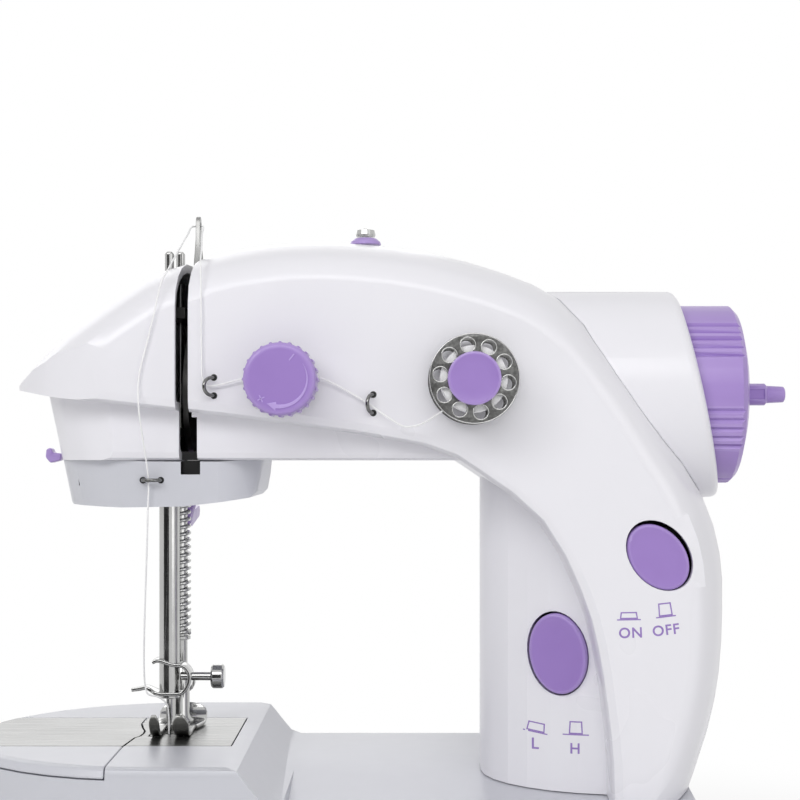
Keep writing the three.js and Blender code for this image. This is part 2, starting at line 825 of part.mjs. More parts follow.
// Slide cover over the bobbin: a white carrier with a steel plate let into it.
const coverEdge = 1.5; // white rim left round the plate
const coverBlank = box(-beyond, 0, -beyond, plateHalfDepth, blockTop - coverThickness, beyond);
add(
  'slide_cover',
  cut(
    base(0, 0).intersect(leftOfSlit(gap / 2)).intersect(coverBlank),
    box(-beyond, 0, -coverBack, beyond, plateSeat, beyond),
  ),
  whitePlastic,
);
add(
  'slide_plate',
  alongZ(basePlan(coverEdge), blockTop - plateThickness, blockTop)
    .intersect(leftOfSlit(gap / 2))
    .intersect(box(-beyond, 0, -plateHalfDepth, plateHalfDepth, 0, beyond)),
  steel,
);

// Round socket for the mains adaptor in the back of the base.
const jackLength = 12;
const jackFlange = jackRadius + 2;
const jackPin = rodY(jackX, jackZ, 0.8, baseBack - jackLength + 1, baseBack - wall, 8);
const jackBore = rodY(jackX, jackZ, 2.3, baseBack - jackLength + wall, beyond, 12);
const jackProfile = [
  [0, baseBack - jackLength],
  [jackFlange, baseBack - jackLength],
  [jackFlange, baseBack - wall - gap],
  [jackRadius, baseBack - wall - gap],
  [jackRadius, baseBack - 0.5],
  [0, baseBack - 0.5],
];
add('power_socket', cut(turnedY(jackX, jackZ, jackProfile, 12), jackBore.subtract(jackPin)), blackPlastic);

// ---------------------------------------------------------------------------
// Main shaft, handwheel, crank and take-up lever
// ---------------------------------------------------------------------------
const rimRound = 1.3;
const grooveGroups = 6;
const groovesPerGroup = 5;
const groovePitch = 6; // degrees
const grooveHalfWidth = 2; // degrees
const grooveDepth = 0.8;
const firstGroup = 54.3; // degrees from the top
const plainRim = [22, 30, 38]; // degrees past a group's middle, where the rim is smooth

// The wheel's rim from its end: groups of grooves with plain stretches between them.
function wheelOutline() {
  const points = [];
  const onRim = (degrees, radius) => {
    const angle = THREE.MathUtils.degToRad(90 + degrees);
    return v2(radius * Math.cos(angle), shaftZ + radius * Math.sin(angle));
  };
  for (let group = 0; group < grooveGroups; group += 1) {
    const middle = firstGroup + (group * 360) / grooveGroups;
    for (let groove = 0; groove < groovesPerGroup; groove += 1) {
      const at = middle + (groove - (groovesPerGroup - 1) / 2) * groovePitch;
      points.push(onRim(at - grooveHalfWidth, wheelRadius));
      points.push(onRim(at, wheelRadius - grooveDepth));
      points.push(onRim(at + grooveHalfWidth, wheelRadius));
    }
    points.push(...plainRim.map((degrees) => onRim(middle + degrees, wheelRadius)));
  }
  return outline(points);
}

const hubEnd = wheelFace - 2 * wall; // the shaft ends in the wheel's blind bore
const wheelProfile = [
  [0, wheelLeft],
  [wheelRadius, wheelLeft],
  [wheelRadius, wheelRim - rimRound],
  [wheelRadius - rimRound, wheelRim],
  [wheelRadius * 0.72, wheelRim + 1.4],
  [wheelRadius * 0.4, wheelFace - 0.4],
  [0, wheelFace],
];
const wheelRing = alongX(wheelOutline(), wheelLeft, wheelFace).intersect(
  turnedX(0, shaftZ, wheelProfile, 48),
);
// Round spindle on the wheel's face, where a bobbin is pushed on for winding.
const spindleRoot = 2.7;
const spindleTip = 2.15;
const spindleStep = wheelFace + 5.6;
const spindleEnd = wheelFace + windingSpindleLength;
const windingSpindle = turnedX(0, shaftZ, [
  [0, wheelFace - 1],
  [spindleRoot, wheelFace - 1],
  [spindleRoot, spindleStep - 0.5],
  [spindleTip, spindleStep],
  [spindleTip - 0.2, spindleEnd - 0.3],
  [spindleTip - 0.6, spindleEnd],
  [0, spindleEnd],
]);
const pocketRim = 0.8;
const pocketDepth = 0.5;
const pocketHalfHeight = 1.2;
const spindlePocket = box(
  wheelFace + pocketRim,
  spindleStep - pocketRim,
  -spindleRoot - 1,
  pocketDepth - spindleRoot,
  shaftZ - pocketHalfHeight,
  shaftZ + pocketHalfHeight,
);
add(
  'handwheel',
  cut(join(wheelRing, windingSpindle), rodX(0, shaftZ, shaftRadius + gap, 0, hubEnd), spindlePocket),
  purplePlastic,
);

const crankLeft = slotLeft - 0.6; // the disc turns between the slot and the frame's lug
const crankThickness = 1.4;
const crankRadius = stroke / 2;
const crankDiscRadius = crankRadius + 2.5;
const crankPinRadius = 1.3;
const crankPinLeft = crankLeft - 0.5;
add('main_shaft', rodX(0, shaftZ, shaftRadius, crankLeft, hubEnd - gap), steel);
add(
  'crank_disc',
  cut(
    join(
      rodX(0, shaftZ, crankDiscRadius, crankLeft, crankLeft + crankThickness, 32),
      rodX(0, shaftZ - crankRadius, crankPinRadius, crankPinLeft, crankLeft + crankThickness / 2, 12),
    ),
    rodX(0, shaftZ, shaftRadius + gap, -beyond, beyond),
  ),
  darkSteel,
);

// Take-up lever: a flat arm that swings in the slot round the shaft's own axis.
const leverThickness = 1.1;
const leverTop = 191;
const leverHub = 6.5;
const eyeZ = leverTop - 2.4;
const eyeRadius = 0.9;
const leverLeft = slotX - leverThickness / 2;
const leverSide = [
  v2(3.4, shaftZ + leverHub - 1.5),
  v2(2.6, leverTop - 12),
  v2(1.7, leverTop - 6),
  v2(1.5, leverTop - 1.6),
  v2(0.8, leverTop - 0.3),
];
const leverOutline = outline([
  ...leverSide,
  v2(0, leverTop),
  ...leverSide.map((point) => v2(-point.x, point.y)).reverse(),
]);
add(
  'take_up_lever',
  cut(
    join(
      rodX(0, shaftZ, leverHub, leverLeft, leverLeft + leverThickness, 20),
      alongX(leverOutline, leverLeft, leverLeft + leverThickness),
    ),
    rodX(0, shaftZ, shaftRadius + gap, -beyond, beyond),
    rodX(0, eyeZ, eyeRadius, -beyond, beyond, 8),
  ),
  steel,
);

// ---------------------------------------------------------------------------
// Needle bar
// ---------------------------------------------------------------------------
const barBottom = 72.8;
const barTop = 182;
const barStep = 141;
const pinHead = (top) => [
  [barTopRadius, top - 0.6],
  [barTopRadius * 0.6, top],
  [0, top],
];
const needleBarProfile = [
  [0, barBottom],
  [needleBarRadius, barBottom],
  [needleBarRadius, barStep],
  [barTopRadius, barStep],
  ...pinHead(barTop),
];
add('needle_bar', turnedZ(needleX, needleY, needleBarProfile), steel);

// Slotted yoke on the needle bar. The crank's pin stops just short of its slot.
const yokeRight = crankPinLeft - gap;
const yokeLeft = yokeRight - 0.8;
const yokeZ = shaftZ - crankRadius;
const yokeHalfHeight = 3.5;
const yokeHub = 4;
const yokeSlotHalf = crankPinRadius + gap;
const yokeSlotReach = crankRadius + 1.5;
const yokeEnd = yokeSlotReach + 2;
const yokeSlot = box(
  yokeLeft - gap,
  yokeRight + gap,
  -yokeSlotReach,
  yokeSlotReach,
  yokeZ - yokeSlotHalf,
  yokeZ + yokeSlotHalf,
).subtract(rodZ(needleX, needleY, yokeHub, 0, beyond));
add(
  'needle_bar_yoke',
  cut(
    join(
      box(yokeLeft, yokeRight, -yokeEnd, yokeEnd, yokeZ - yokeHalfHeight, yokeZ + yokeHalfHeight),
      rodZ(needleX, needleY, yokeHub, yokeZ - yokeHalfHeight, yokeZ + yokeHalfHeight),
    ),
    yokeSlot,
    rodZ(needleX, needleY, needleBarRadius + gap, 0, beyond),
  ),
  darkSteel,
);

// Needle clamp: a bent steel strap round the bar's end, with a thread finger on its lower arm.
const screwZ = barBottom + 5.2;
const screwRadius = 1.05;
const strapThickness = 0.9;
const strapHalfDepth = 3;
const fingerWidth = 1.2;
const strapLine = [
  v2(needleX - 3.7, screwZ + 4.4),
  v2(needleX, screwZ + 3.6),
  v2(needleX + 3.9, screwZ + 2.9),
  v2(needleX + 5.3, screwZ),
  v2(needleX + 3.9, screwZ - 3),
  v2(needleX, screwZ - 4.2),
  v2(needleX - 3.9, screwZ - 4.4),
];
const fingerLine = [
  v2(needleX - 3.9, screwZ - 4.4),
  v2(needleX - 5.7, screwZ - 3),
  v2(needleX - 9.4, screwZ - 3.6),
];
const strapFront = needleY - strapHalfDepth;
add(
  'needle_clamp',
  cut(
    join(
      alongY(strip(strapLine, strapThickness, 12), strapFront, needleY + strapHalfDepth),
      alongY(strip(fingerLine, strapThickness, 6), strapFront, strapFront + fingerWidth),
    ),
    rodZ(needleX, needleY, needleBarRadius + gap, 0, armUnderside),
    rodX(needleY, screwZ, screwRadius + gap, needleX, 0, 10),
  ),
  steel,
);
const screwTip = needleX + needleBarRadius + gap;
const screwHeadLeft = -41;
const screwHeadRadius = 3;
const screwHeadLength = 3.2;
const clampScrewProfile = [
  [0, screwTip],
  [screwRadius, screwTip],
  [screwRadius, screwHeadLeft],
  [screwHeadRadius - 0.5, screwHeadLeft],
  [screwHeadRadius, screwHeadLeft + 0.5],
  [screwHeadRadius, screwHeadLeft + screwHeadLength - 0.5],
  [screwHeadRadius - 0.5, screwHeadLeft + screwHeadLength],
  [0, screwHeadLeft + screwHeadLength],
];
add('clamp_screw', turnedX(needleY, screwZ, clampScrewProfile), steel);
const shankRadius = 0.8;
const bladeRadius = 0.42;
const needleProfile = [
  [0, needleTip],
  [bladeRadius, needleTip + 3],
  [bladeRadius, barBottom - 6.8],
  [shankRadius, barBottom - 4.8],
  [shankRadius, barBottom - gap],
  [0, barBottom - gap],
];
add('needle', turnedZ(needleX, needleY, needleProfile, 10), steel);

// ---------------------------------------------------------------------------
// Presser bar, its spring, foot and lifter
// ---------------------------------------------------------------------------
const springSeat = 86.6;
const presserTop = 183.4;
const presserStep = 150;
const soleBottom = blockTop + gap;
const presserBarEnd = soleBottom + 3;
const seatThickness = 0.9;
const presserProfile = [
  [0, presserBarEnd],
  [presserBarRadius, presserBarEnd],
  [presserBarRadius, springSeat - seatThickness],
  [presserBarRadius + 0.8, springSeat - seatThickness],
  [presserBarRadius + 0.8, springSeat],
  [presserBarRadius, springSeat],
  [presserBarRadius, presserStep],
  [barTopRadius, presserStep],
  ...pinHead(presserTop),
];
add('presser_bar', turnedZ(presserX, presserY, presserProfile), steel);
const springWire = 0.32;
const springRadius = presserBarRadius + gap + springWire; // of the wire's middle line
const springTurns = 19;
const springLow = springSeat + springWire + gap / 2;
const springHigh = housingBottom - springWire - gap / 2;
const springPitch = (springHigh - springLow) / springTurns;
const springBase = v3(presserX, presserY, springLow);
add(
  'presser_spring',
  coilSpring(springBase, 'z', springRadius, springWire, springPitch, springTurns),
  steel,
);

// Foot: a shank round the bar, and a sole whose two toes curl up on each side of the needle.
const soleThickness = 1.1;
const heelY = presserY + 6;
const toeLeft = needleX - 3.9;
const toeRight = needleX + 5.5;
const toeSlotLeft = needleX - 1.3;
const toeSlotRight = needleX + 1.9;
const footTopZ = soleBottom + 15.1;
const shankHalf = 3;
const shankHalfDepth = 3.4;
const toeProfile = outline([
  v2(heelY, soleBottom),
  v2(needleY - 6, soleBottom),
  v2(needleY - 8.5, soleBottom + 1.4),
  v2(needleY - 10.2, soleBottom + 4),
  v2(needleY - 9.3, soleBottom + 4.8),
  v2(needleY - 7.4, soleBottom + 2.6),
  v2(needleY - 5.4, soleBottom + soleThickness),
  v2(heelY, soleBottom + soleThickness),
]);
// An upright plate on the sole's right side guides the cloth's edge.
const sideRight = presserX + 7.4;
const sideFront = presserY - 8;
const footScrewZ = 74.5;
const footScrewRadius = 1.2;
const shankBack = presserY + shankHalfDepth;
add(
  'presser_foot',
  cut(
    join(
      alongX(toeProfile, toeLeft, toeRight),
      box(
        presserX - shankHalf,
        presserX + shankHalf,
        presserY - shankHalfDepth,
        shankBack,
        soleBottom + soleThickness / 2,
        footTopZ,
      ),
      box(presserX, sideRight, sideFront, presserY, soleBottom, soleBottom + soleThickness),
      box(presserX + 2, sideRight, sideFront, sideFront + 1.6, soleBottom + 0.4, soleBottom + 6),
    ),
    box(toeSlotLeft, toeSlotRight, -beyond, presserY - 5, 0, armUnderside),
    rodZ(presserX, presserY, presserBarRadius + gap, presserBarEnd - gap, armUnderside),
    rodY(presserX, footScrewZ, footScrewRadius + gap, presserY, beyond, 10),
  ),
  steel,
);
const footScrewHead = shankBack + gap;
const footScrewProfile = [
  [0, presserY + presserBarRadius + gap],
  [footScrewRadius, presserY + presserBarRadius + gap],
  [footScrewRadius, footScrewHead],
  [3.2, footScrewHead],
  [3.2, footScrewHead + 2.7],
  [0, footScrewHead + 2.7],
];
add('foot_screw', turnedY(presserX, footScrewZ, footScrewProfile, 14), steel);

// Lifter: a handle behind the presser bar that turns on two pins in the housing's cheeks.
const lifterOutline = outline([
  v2(lifterPinY - 3, lifterPinZ - 1),
  v2(lifterPinY - 2.6, lifterPinZ - 8.5),
  v2(lifterPinY - 0.6, lifterPinZ - 10.9),
  v2(lifterPinY + 4, lifterPinZ - 11.1),
  v2(lifterPinY + 19, lifterPinZ - 9.1),
  v2(lifterPinY + 20, lifterPinZ - 7.5),
  v2(lifterPinY + 19, lifterPinZ - 6.1),
  v2(lifterPinY + 6, lifterPinZ - 7.1),
  v2(lifterPinY + 3, lifterPinZ - 5.5),
  v2(lifterPinY + 3, lifterPinZ),
]);
const lifterLeft = presserX - lifterHalfWidth;
const lifterRight = presserX + lifterHalfWidth;
const trunnionReach = lifterHalfWidth + gap + wall;
add(
  'presser_lifter',
  join(
    alongX(lifterOutline, lifterLeft, lifterRight),
    rodX(lifterPinY, lifterPinZ, 3.2, lifterLeft, lifterRight),
    rodX(
      lifterPinY,
      lifterPinZ,
      lifterPinRadius,
      presserX - trunnionReach,
      presserX + trunnionReach,
      10,
    ),
  ),
  purplePlastic,
);

// ---------------------------------------------------------------------------
// Thread path: tension unit, guides, supply bobbin and the upper thread
// ---------------------------------------------------------------------------
const discRadius = 7;
const discThickness = 0.7;
const threadRoom = 1; // between the two discs
const knobDepth = 10;
const knobRear = knobFront + knobDepth;
const knobHollow = 5.6; // radius and depth of the hollow behind the knob's face
const knobTeeth = 24;
const toothDepth = 0.6;
const rearDiscBack = -skinDepth - gap;
const rearDiscFront = rearDiscBack - discThickness;
const frontDiscBack = rearDiscFront - threadRoom;
const frontDiscFront = frontDiscBack - discThickness;
const studHole = rodY(knobX, knobZ, tensionStudRadius + gap, -beyond, 0, 12);
const insideSkin = wall - skinDepth;
const studProfile = [
  [0, knobFront + 2],
  [tensionStudRadius, knobFront + 2],
  [tensionStudRadius, insideSkin + gap],
  [tensionStudRadius + 2.5, insideSkin + gap],
  [tensionStudRadius + 2.5, insideSkin + 2],
  [0, insideSkin + 2],
];
const disc = (front) => cut(rodY(knobX, knobZ, discRadius, front, front + discThickness, 24), studHole);
add('tension_stud', turnedY(knobX, knobZ, studProfile, 12), steel);
add('tension_disc_rear', disc(rearDiscFront), steel);
add('tension_disc_front', disc(frontDiscFront), steel);

const tensionWire = 0.4;
const tensionTurns = 3;
const tensionSpringFront = knobRear - knobHollow + tensionWire + gap;
const tensionSpringBack = frontDiscFront - tensionWire - gap / 2;
add(
  'tension_spring',
  coilSpring(
    v3(knobX, tensionSpringFront, knobZ),
    'y',
    tensionStudRadius + 1.4,
    tensionWire,
    (tensionSpringBack - tensionSpringFront) / tensionTurns,
    tensionTurns,
  ),
  steel,
);

function knobOutline() {
  const points = [];
  const tooth = 360 / knobTeeth;
  const root = knobRadius - toothDepth;
  for (let start = 0; start < 360; start += tooth) {
    points.push(...arc(knobX, knobZ, knobRadius, knobRadius, start, start + tooth / 4, 1));
    points.push(...arc(knobX, knobZ, root, root, start + tooth / 2, start + (tooth * 3) / 4, 1));
  }
  return points;
}
const knobLip = 1.3; // the smooth face stands in front of the toothed skirt
const knobFaceProfile = [
  [0, knobFront],
  [knobRadius - 1.6, knobFront],
  [knobRadius - 0.7, knobFront + 0.4],
  [knobRadius - 0.4, knobFront + knobLip],
  [0, knobFront + knobLip],
];
add(
  'tension_knob',
  cut(
    join(
      alongY(knobOutline(), knobFront + knobLip - 0.1, knobRear),
      turnedY(knobX, knobZ, knobFaceProfile, 36),
    ),
    rodY(knobX, knobZ, knobHollow, knobRear - knobHollow, 0, 24),
    rodY(knobX, knobZ, tensionStudRadius + gap, knobFront + 2 - gap, 0, 12),
  ),
  purplePlastic,
);

// Guides: bent wire with both ends in the shell.
const wireRoot = 2.6; // how far each end reaches in
const wireStraight = 0.8; // straight stretch outside the shell
const bentGuide = (ends, middle) =>
  wire(
    pathThrough([
      ends[0].clone().add(v3(0, wireRoot, 0)),
      ends[0].clone().add(v3(0, -wireStraight, 0)),
      middle,
      ends[1].clone().add(v3(0, -wireStraight, 0)),
      ends[1].clone().add(v3(0, wireRoot, 0)),
    ]),
    guideWire,
    16,
    6,
  );
Object.entries(guides).forEach(([name, { x, z, span, bow }]) => {
  const ends = [v3(x, -skinDepth, z + span), v3(x, -skinDepth, z - span)];
  add(name, bentGuide(ends, v3(x - bow, -skinDepth - bow, z)), steel);
});
const lowerFront = -housingDepth;
const lowerEnds = [-1, 1].map((side) =>
  v3(lowerGuide.x + side * lowerGuide.span, lowerFront, lowerGuide.z),
);
const lowerBow = v3(lowerGuide.x, lowerFront - lowerGuide.bow, lowerGuide.z);
add('thread_guide_lower', bentGuide(lowerEnds, lowerBow), steel);

// A metal bobbin: two flanges on a hollow hub.
const flangeThickness = 0.8;
function bobbinProfile(from, radius) {
  const to = from + bobbinWidth;
  return [
    [0, from],
    [radius, from],
    [radius, from + flangeThickness],
    [bobbinHub, from + flangeThickness],
    [bobbinHub, to - flangeThickness],
    [radius, to - flangeThickness],
    [radius, to],
    [0, to],
  ];
}
const bobbinHoles = 10;
const bobbinHoleRadius = 1.5;
const bobbinHoleCircle = 7.5;
const firstBobbinHole = -11; // degrees from the top
const supplyBack = -skinDepth - 2;
const supplyFront = supplyBack - bobbinWidth;
const flangeHoles = [];
for (let hole = 0; hole < bobbinHoles; hole += 1) {
  const angle = THREE.MathUtils.degToRad(firstBobbinHole + (360 / bobbinHoles) * hole);
  const x = spindleX + bobbinHoleCircle * Math.sin(angle);
  const z = spindleZ + bobbinHoleCircle * Math.cos(angle);
  flangeHoles.push(rodY(x, z, bobbinHoleRadius, -beyond, 0, 7));
}
add(
  'supply_bobbin',
  cut(
    turnedY(spindleX, spindleZ, bobbinProfile(supplyFront, bobbinRadius), 32),
    rodY(spindleX, spindleZ, spindleRadius + 0.5, -beyond, 0, 16),
    ...flangeHoles,
  ),
  darkSteel,
);
const capRadius = 5.9;
const capBack = supplyFront - gap;
const capThickness = 1.3;
const spindleProfile = [
  [0, capBack - capThickness],
  [capRadius - 0.5, capBack - capThickness],
  [capRadius, capBack - capThickness + 0.4],
  [capRadius, capBack],
  [spindleRadius, capBack],
  [spindleRadius, supplyBack + gap],
  [bobbinHub, supplyBack + gap],
  [bobbinHub, -skinDepth - gap],
  [spindleRadius, -skinDepth - gap],
  [spindleRadius, insideSkin + wall],
  [0, insideSkin + wall],
];
add('bobbin_spindle', turnedY(spindleX, spindleZ, spindleProfile, 28), purplePlastic);

// Boss and its crossed screw on top of the arm, over a guide hole for the spool.
const bossX = -3.3;
const bossRadius = 3.9;
const bossHeight = 1.7;
const bossBase = crownHeight(bossX - bossRadius) + gap;
const bossTop = bossBase + bossHeight;
const bossProfile = [
  [0, bossBase],
  [bossRadius, bossBase],
  [bossRadius - 0.3, bossBase + bossHeight / 2],
  [bossRadius - 1.3, bossTop],
  [0, bossTop],
];
add('top_boss', turnedZ(bossX, 0, bossProfile, 24), purplePlastic);
const bossScrewBase = bossTop + gap;
const bossScrewTop = bossScrewBase + 2.1;
const bossScrewRadius = 2.45;
const crossHalfWidth = 0.35;
const crossDepth = 0.8;
const crossReach = 1.5;
const bossScrewProfile = [
  [0, bossScrewBase],
  [bossScrewRadius - 0.15, bossScrewBase],
  [bossScrewRadius, bossScrewBase + 0.6],
  [bossScrewRadius - 0.25, bossScrewTop - 0.4],
  [bossScrewRadius / 2, bossScrewTop],
  [0, bossScrewTop],
];
const crossArm = (halfX, halfY) =>
  box(bossX - halfX, bossX + halfX, -halfY, halfY, bossScrewTop - crossDepth, beyond);
add(
  'top_boss_screw',
  cut(
    turnedZ(bossX, 0, bossScrewProfile, 20),
    crossArm(crossHalfWidth, crossReach),
    crossArm(crossReach, crossHalfWidth),
  ),
  steel,
);

// Thread cutter: a small hook on the head's left end.
const cutterRoot = headLeft - 0.65; // just off the leaning end of the arm
const cutterHalfWidth = 2;
const cutterOutline = outline([
  v2(cutterRoot, armUnderside - 0.1),
  v2(cutterRoot, armUnderside + 1.6),
  v2(cutterRoot - 1.9, armUnderside + 1.7),
  v2(cutterRoot - 2.5, armUnderside + 3),
  v2(cutterRoot - 3.6, armUnderside + 2.6),
  v2(cutterRoot - 3.8, armUnderside + 0.6),
  v2(cutterRoot - 2.6, armUnderside - 0.8),
]);
add('thread_cutter', alongY(cutterOutline, -cutterHalfWidth, cutterHalfWidth), purplePlastic);

// Upper thread in two runs that meet in the lever's eye.
const threadRadius = 0.2;
const threadSteps = 56;
const betweenDiscs = (rearDiscFront + frontDiscBack) / 2;
const offSkin = (x, inFront, z) => v3(x, -skinDepth - inFront, z);
const supplyRun = [
  offSkin(17.3, 7.6, 144),
  offSkin(13.6, 6, 142.2),
  offSkin(6.3, 3.4, 138.8),
  offSkin(1.8, 2, 141.2),
  offSkin(-2, 1.1, 143.9),
  v3(-12.5, betweenDiscs, 149.6),
  v3(knobX, betweenDiscs, knobZ + tensionStudRadius + 0.8),
  v3(-31, betweenDiscs + 0.2, 149.4),
  offSkin(-38.2, 1, 148),
  offSkin(-39.4, 1, 149.2),
  offSkin(-39.9, 0.6, 155),
  offSkin(-40.5, 0.6, 166),
  offSkin(-41.1, -0.5, 172.5),
  offSkin(-41.8, -4.5, 176.2),
  offSkin(-42.4, -9.5, 178.9),
  v3(-43.2, -8, eyeZ - 3),
  v3(-43.4, -1, eyeZ - 0.1),
  v3(slotX + 0.15, 0, eyeZ),
];
const needleRun = [
  v3(slotX - 0.2, 0, eyeZ),
  v3(-45.8, -1, eyeZ - 0.2),
  v3(-46.2, -8, eyeZ - 3.1),
  offSkin(-47.3, -9.5, 178.3),
  offSkin(-48.1, -4.5, 175),
  offSkin(-49.2, -0.5, 171.2),
  offSkin(-50.4, 0.7, 165),
  offSkin(-52, 0.6, 158.4),
  offSkin(-54, 0.6, 150),
  offSkin(-54.1, 0.6, 143.5),
  v3(-53, -25.3, 126.4),
  v3(-53.2, -24.8, 119.6),
  v3(-56.7, -6.6, 76.4),
  v3(-56, -6.6, 74.2),
  v3(-52.4, -5.2, 71),
  v3(needleX, needleY - 1.2, 68.4),
  v3(needleX, needleY - 0.82, needleTip + 15.5),
  v3(needleX, needleY - 0.78, needleTip + 13.5),
];
add('thread_supply_run', wire(pathThrough(supplyRun), threadRadius, threadSteps, 8), cotton);
add('thread_needle_run', wire(pathThrough(needleRun), threadRadius, threadSteps, 8), cotton);

// ---------------------------------------------------------------------------
// Buttons and their switches
// ---------------------------------------------------------------------------
const switchLong = 10;
const switchShort = 8;
const switchDepth = 9;
const stemWidth = 3;
const stemReach = 3; // how far the button's stem stands in the switch at rest
const legSpread = 8.4; // each leg stands beside the button's plug, on the inside of the panel
const legWidth = 4;
const legThickness = 1.4;

// A block behind a button's face, between two depths.
const block = (long, short, from, to, shift = 0) =>
  new THREE.BoxGeometry(long, short, to - from).translate(0, shift, -(from + to) / 2);

Object.entries(buttons).forEach(([name, button]) => {
  const switchFront = buttonDepth + gap + (button.pressed ? 0 : buttonTravel);
  const legBack = switchFront + 3;
  const bore = stemWidth + 2 * gap;
  const boreEnd = switchFront + stemReach + buttonTravel + gap;
  const leg = (side) => block(legWidth, legThickness, button.seat, legBack, side * legSpread);
  add(
    `${name}_button`,
    join(
      ovalPlug(button, 0, 0, buttonDepth, buttonRound),
      onButtonAxis(button, block(stemWidth, stemWidth, buttonDepth - 1, switchFront + stemReach)),
    ),
    purplePlastic,
  );
  add(
    `${name}_switch`,
    cut(
      join(
        onButtonAxis(button, block(switchLong, switchShort, switchFront, switchFront + switchDepth)),
        onButtonAxis(button, block(legWidth, 2 * legSpread, legBack - legThickness, legBack)),
        onButtonAxis(button, leg(-1)),
        onButtonAxis(button, leg(1)),
      ),
      onButtonAxis(button, block(bore, bore, switchFront - 1, boreEnd)),
    ),
    blackPlastic,
  );
});

// ---------------------------------------------------------------------------
// Drive inside the pillar
// ---------------------------------------------------------------------------
const motorY = 4;
const motorZ = 92;
const motorRadius = 12;
const motorLeft = 55;
const motorRight = 78.5;
const motorShaftRadius = 1.1;
const motorPulleyRadius = 3.5;
const motorBracket = 9; // half width and half height
const drivenRadius = 11;
const timingRadius = 9;
const lowerPulleyRadius = 4.5;
const beltThickness = 1;
const rearPanelInside = pillarEdgeDepth + pillarBulge - wall - gap;
add(
  'motor',
  join(
    rodX(motorY, motorZ, motorRadius, motorLeft, motorRight, 28),
    rodX(motorY, motorZ, motorShaftRadius, beltX - 1, motorLeft + 1, 10),
    box(
      motorLeft - 1.4,
      motorLeft,
      motorY - motorBracket,
      rearPanelInside,
      motorZ - motorBracket,
      motorZ + motorBracket,
    ),
  ),
  darkSteel,
);
add(
  'motor_pulley',
  cut(
    rodX(motorY, motorZ, motorPulleyRadius, beltX, beltX + beltWidth, 16),
    rodX(motorY, motorZ, motorShaftRadius + gap, 0, beyond, 10),
  ),
  brass,
);
add(
  'shaft_pulleys',
  cut(
    join(
      rodX(0, shaftZ, drivenRadius, beltX, beltX + beltWidth, 32),
      rodX(0, shaftZ, timingRadius, timingX, timingX + beltWidth, 28),
      rodX(0, shaftZ, shaftRadius + wall, timingX, beltX + beltWidth),
    ),
    rodX(0, shaftZ, shaftRadius + gap, 0, beyond),
  ),
  blackPlastic,
);

// A flat belt that runs round two pulleys, as an outline in the YZ plane.
function beltOutline(upper, lower, grow) {
  const down = v2(lower.y - upper.y, lower.z - upper.z);
  const towards = THREE.MathUtils.radToDeg(Math.atan2(down.y, down.x));
  const away = towards + 180;
  const lean = THREE.MathUtils.radToDeg(Math.asin((upper.radius - lower.radius) / down.length()));
  const upperWrap = 90 + lean;
  const lowerWrap = 90 - lean;
  const upperRadius = upper.radius + grow;
  const lowerRadius = lower.radius + grow;
  return outline([
    ...arc(upper.y, upper.z, upperRadius, upperRadius, away - upperWrap, away + upperWrap, 14),
    ...arc(lower.y, lower.z, lowerRadius, lowerRadius, towards - lowerWrap, towards + lowerWrap, 8),
  ]);
}

function belt(name, upper, lower, pulleyLeft) {
  const from = pulleyLeft + 0.5;
  const to = pulleyLeft + beltWidth - 0.5;
  const outer = alongX(beltOutline(upper, lower, gap + beltThickness), from, to);
  const inner = alongX(beltOutline(upper, lower, gap), from - 1, to + 1);
  add(name, outer.subtract(inner), rubber);
}
const onShaft = (radius) => ({ y: 0, z: shaftZ, radius });
belt('motor_belt', onShaft(drivenRadius), { y: motorY, z: motorZ, radius: motorPulleyRadius }, beltX);
belt(
  'timing_belt',
  onShaft(timingRadius),
  { y: needleY, z: lowerShaftZ, radius: lowerPulleyRadius },
  timingX,
);

// Steel frame in the arm: a plate behind the shaft with lugs for the shaft and for both bars.
const frameFront = 17;
const frameBack = 18.6;
const frameHalfHeight = 6;
const frameLeft = -57;
const frameRight = 54;
const lugBottom = 165.4;
const lugTop = 168;
const frameBottom = shaftZ - frameHalfHeight;
const lugBack = frameFront + 1;
const bearingLug = (from, to) =>
  box(from, to, -frameHalfHeight, lugBack, frameBottom, shaftZ + frameHalfHeight);
const standoff = (x) => rodY(x, shaftZ + 3, 3, frameFront, skinDepth - wall - gap, 12);
add(
  'arm_frame',
  cut(
    join(
      box(frameLeft, frameRight, frameFront, frameBack, frameBottom, shaftZ + frameHalfHeight),
      box(frameLeft, slotRight + 5, frameFront, frameBack, frameBottom, lugTop),
      box(frameLeft, slotLeft - 1, needleY - 3.5, lugBack, lugBottom, lugTop),
      bearingLug(slotRight + 1, slotRight + 5),
      bearingLug(frameRight - 3, frameRight),
      ...[-34, 0, 30].map(standoff),
    ),
    rodX(0, shaftZ, shaftRadius + gap, -beyond, beyond),
    barHole(needleX, needleY),
    barHole(presserX, presserY),
  ),
  steel,
);

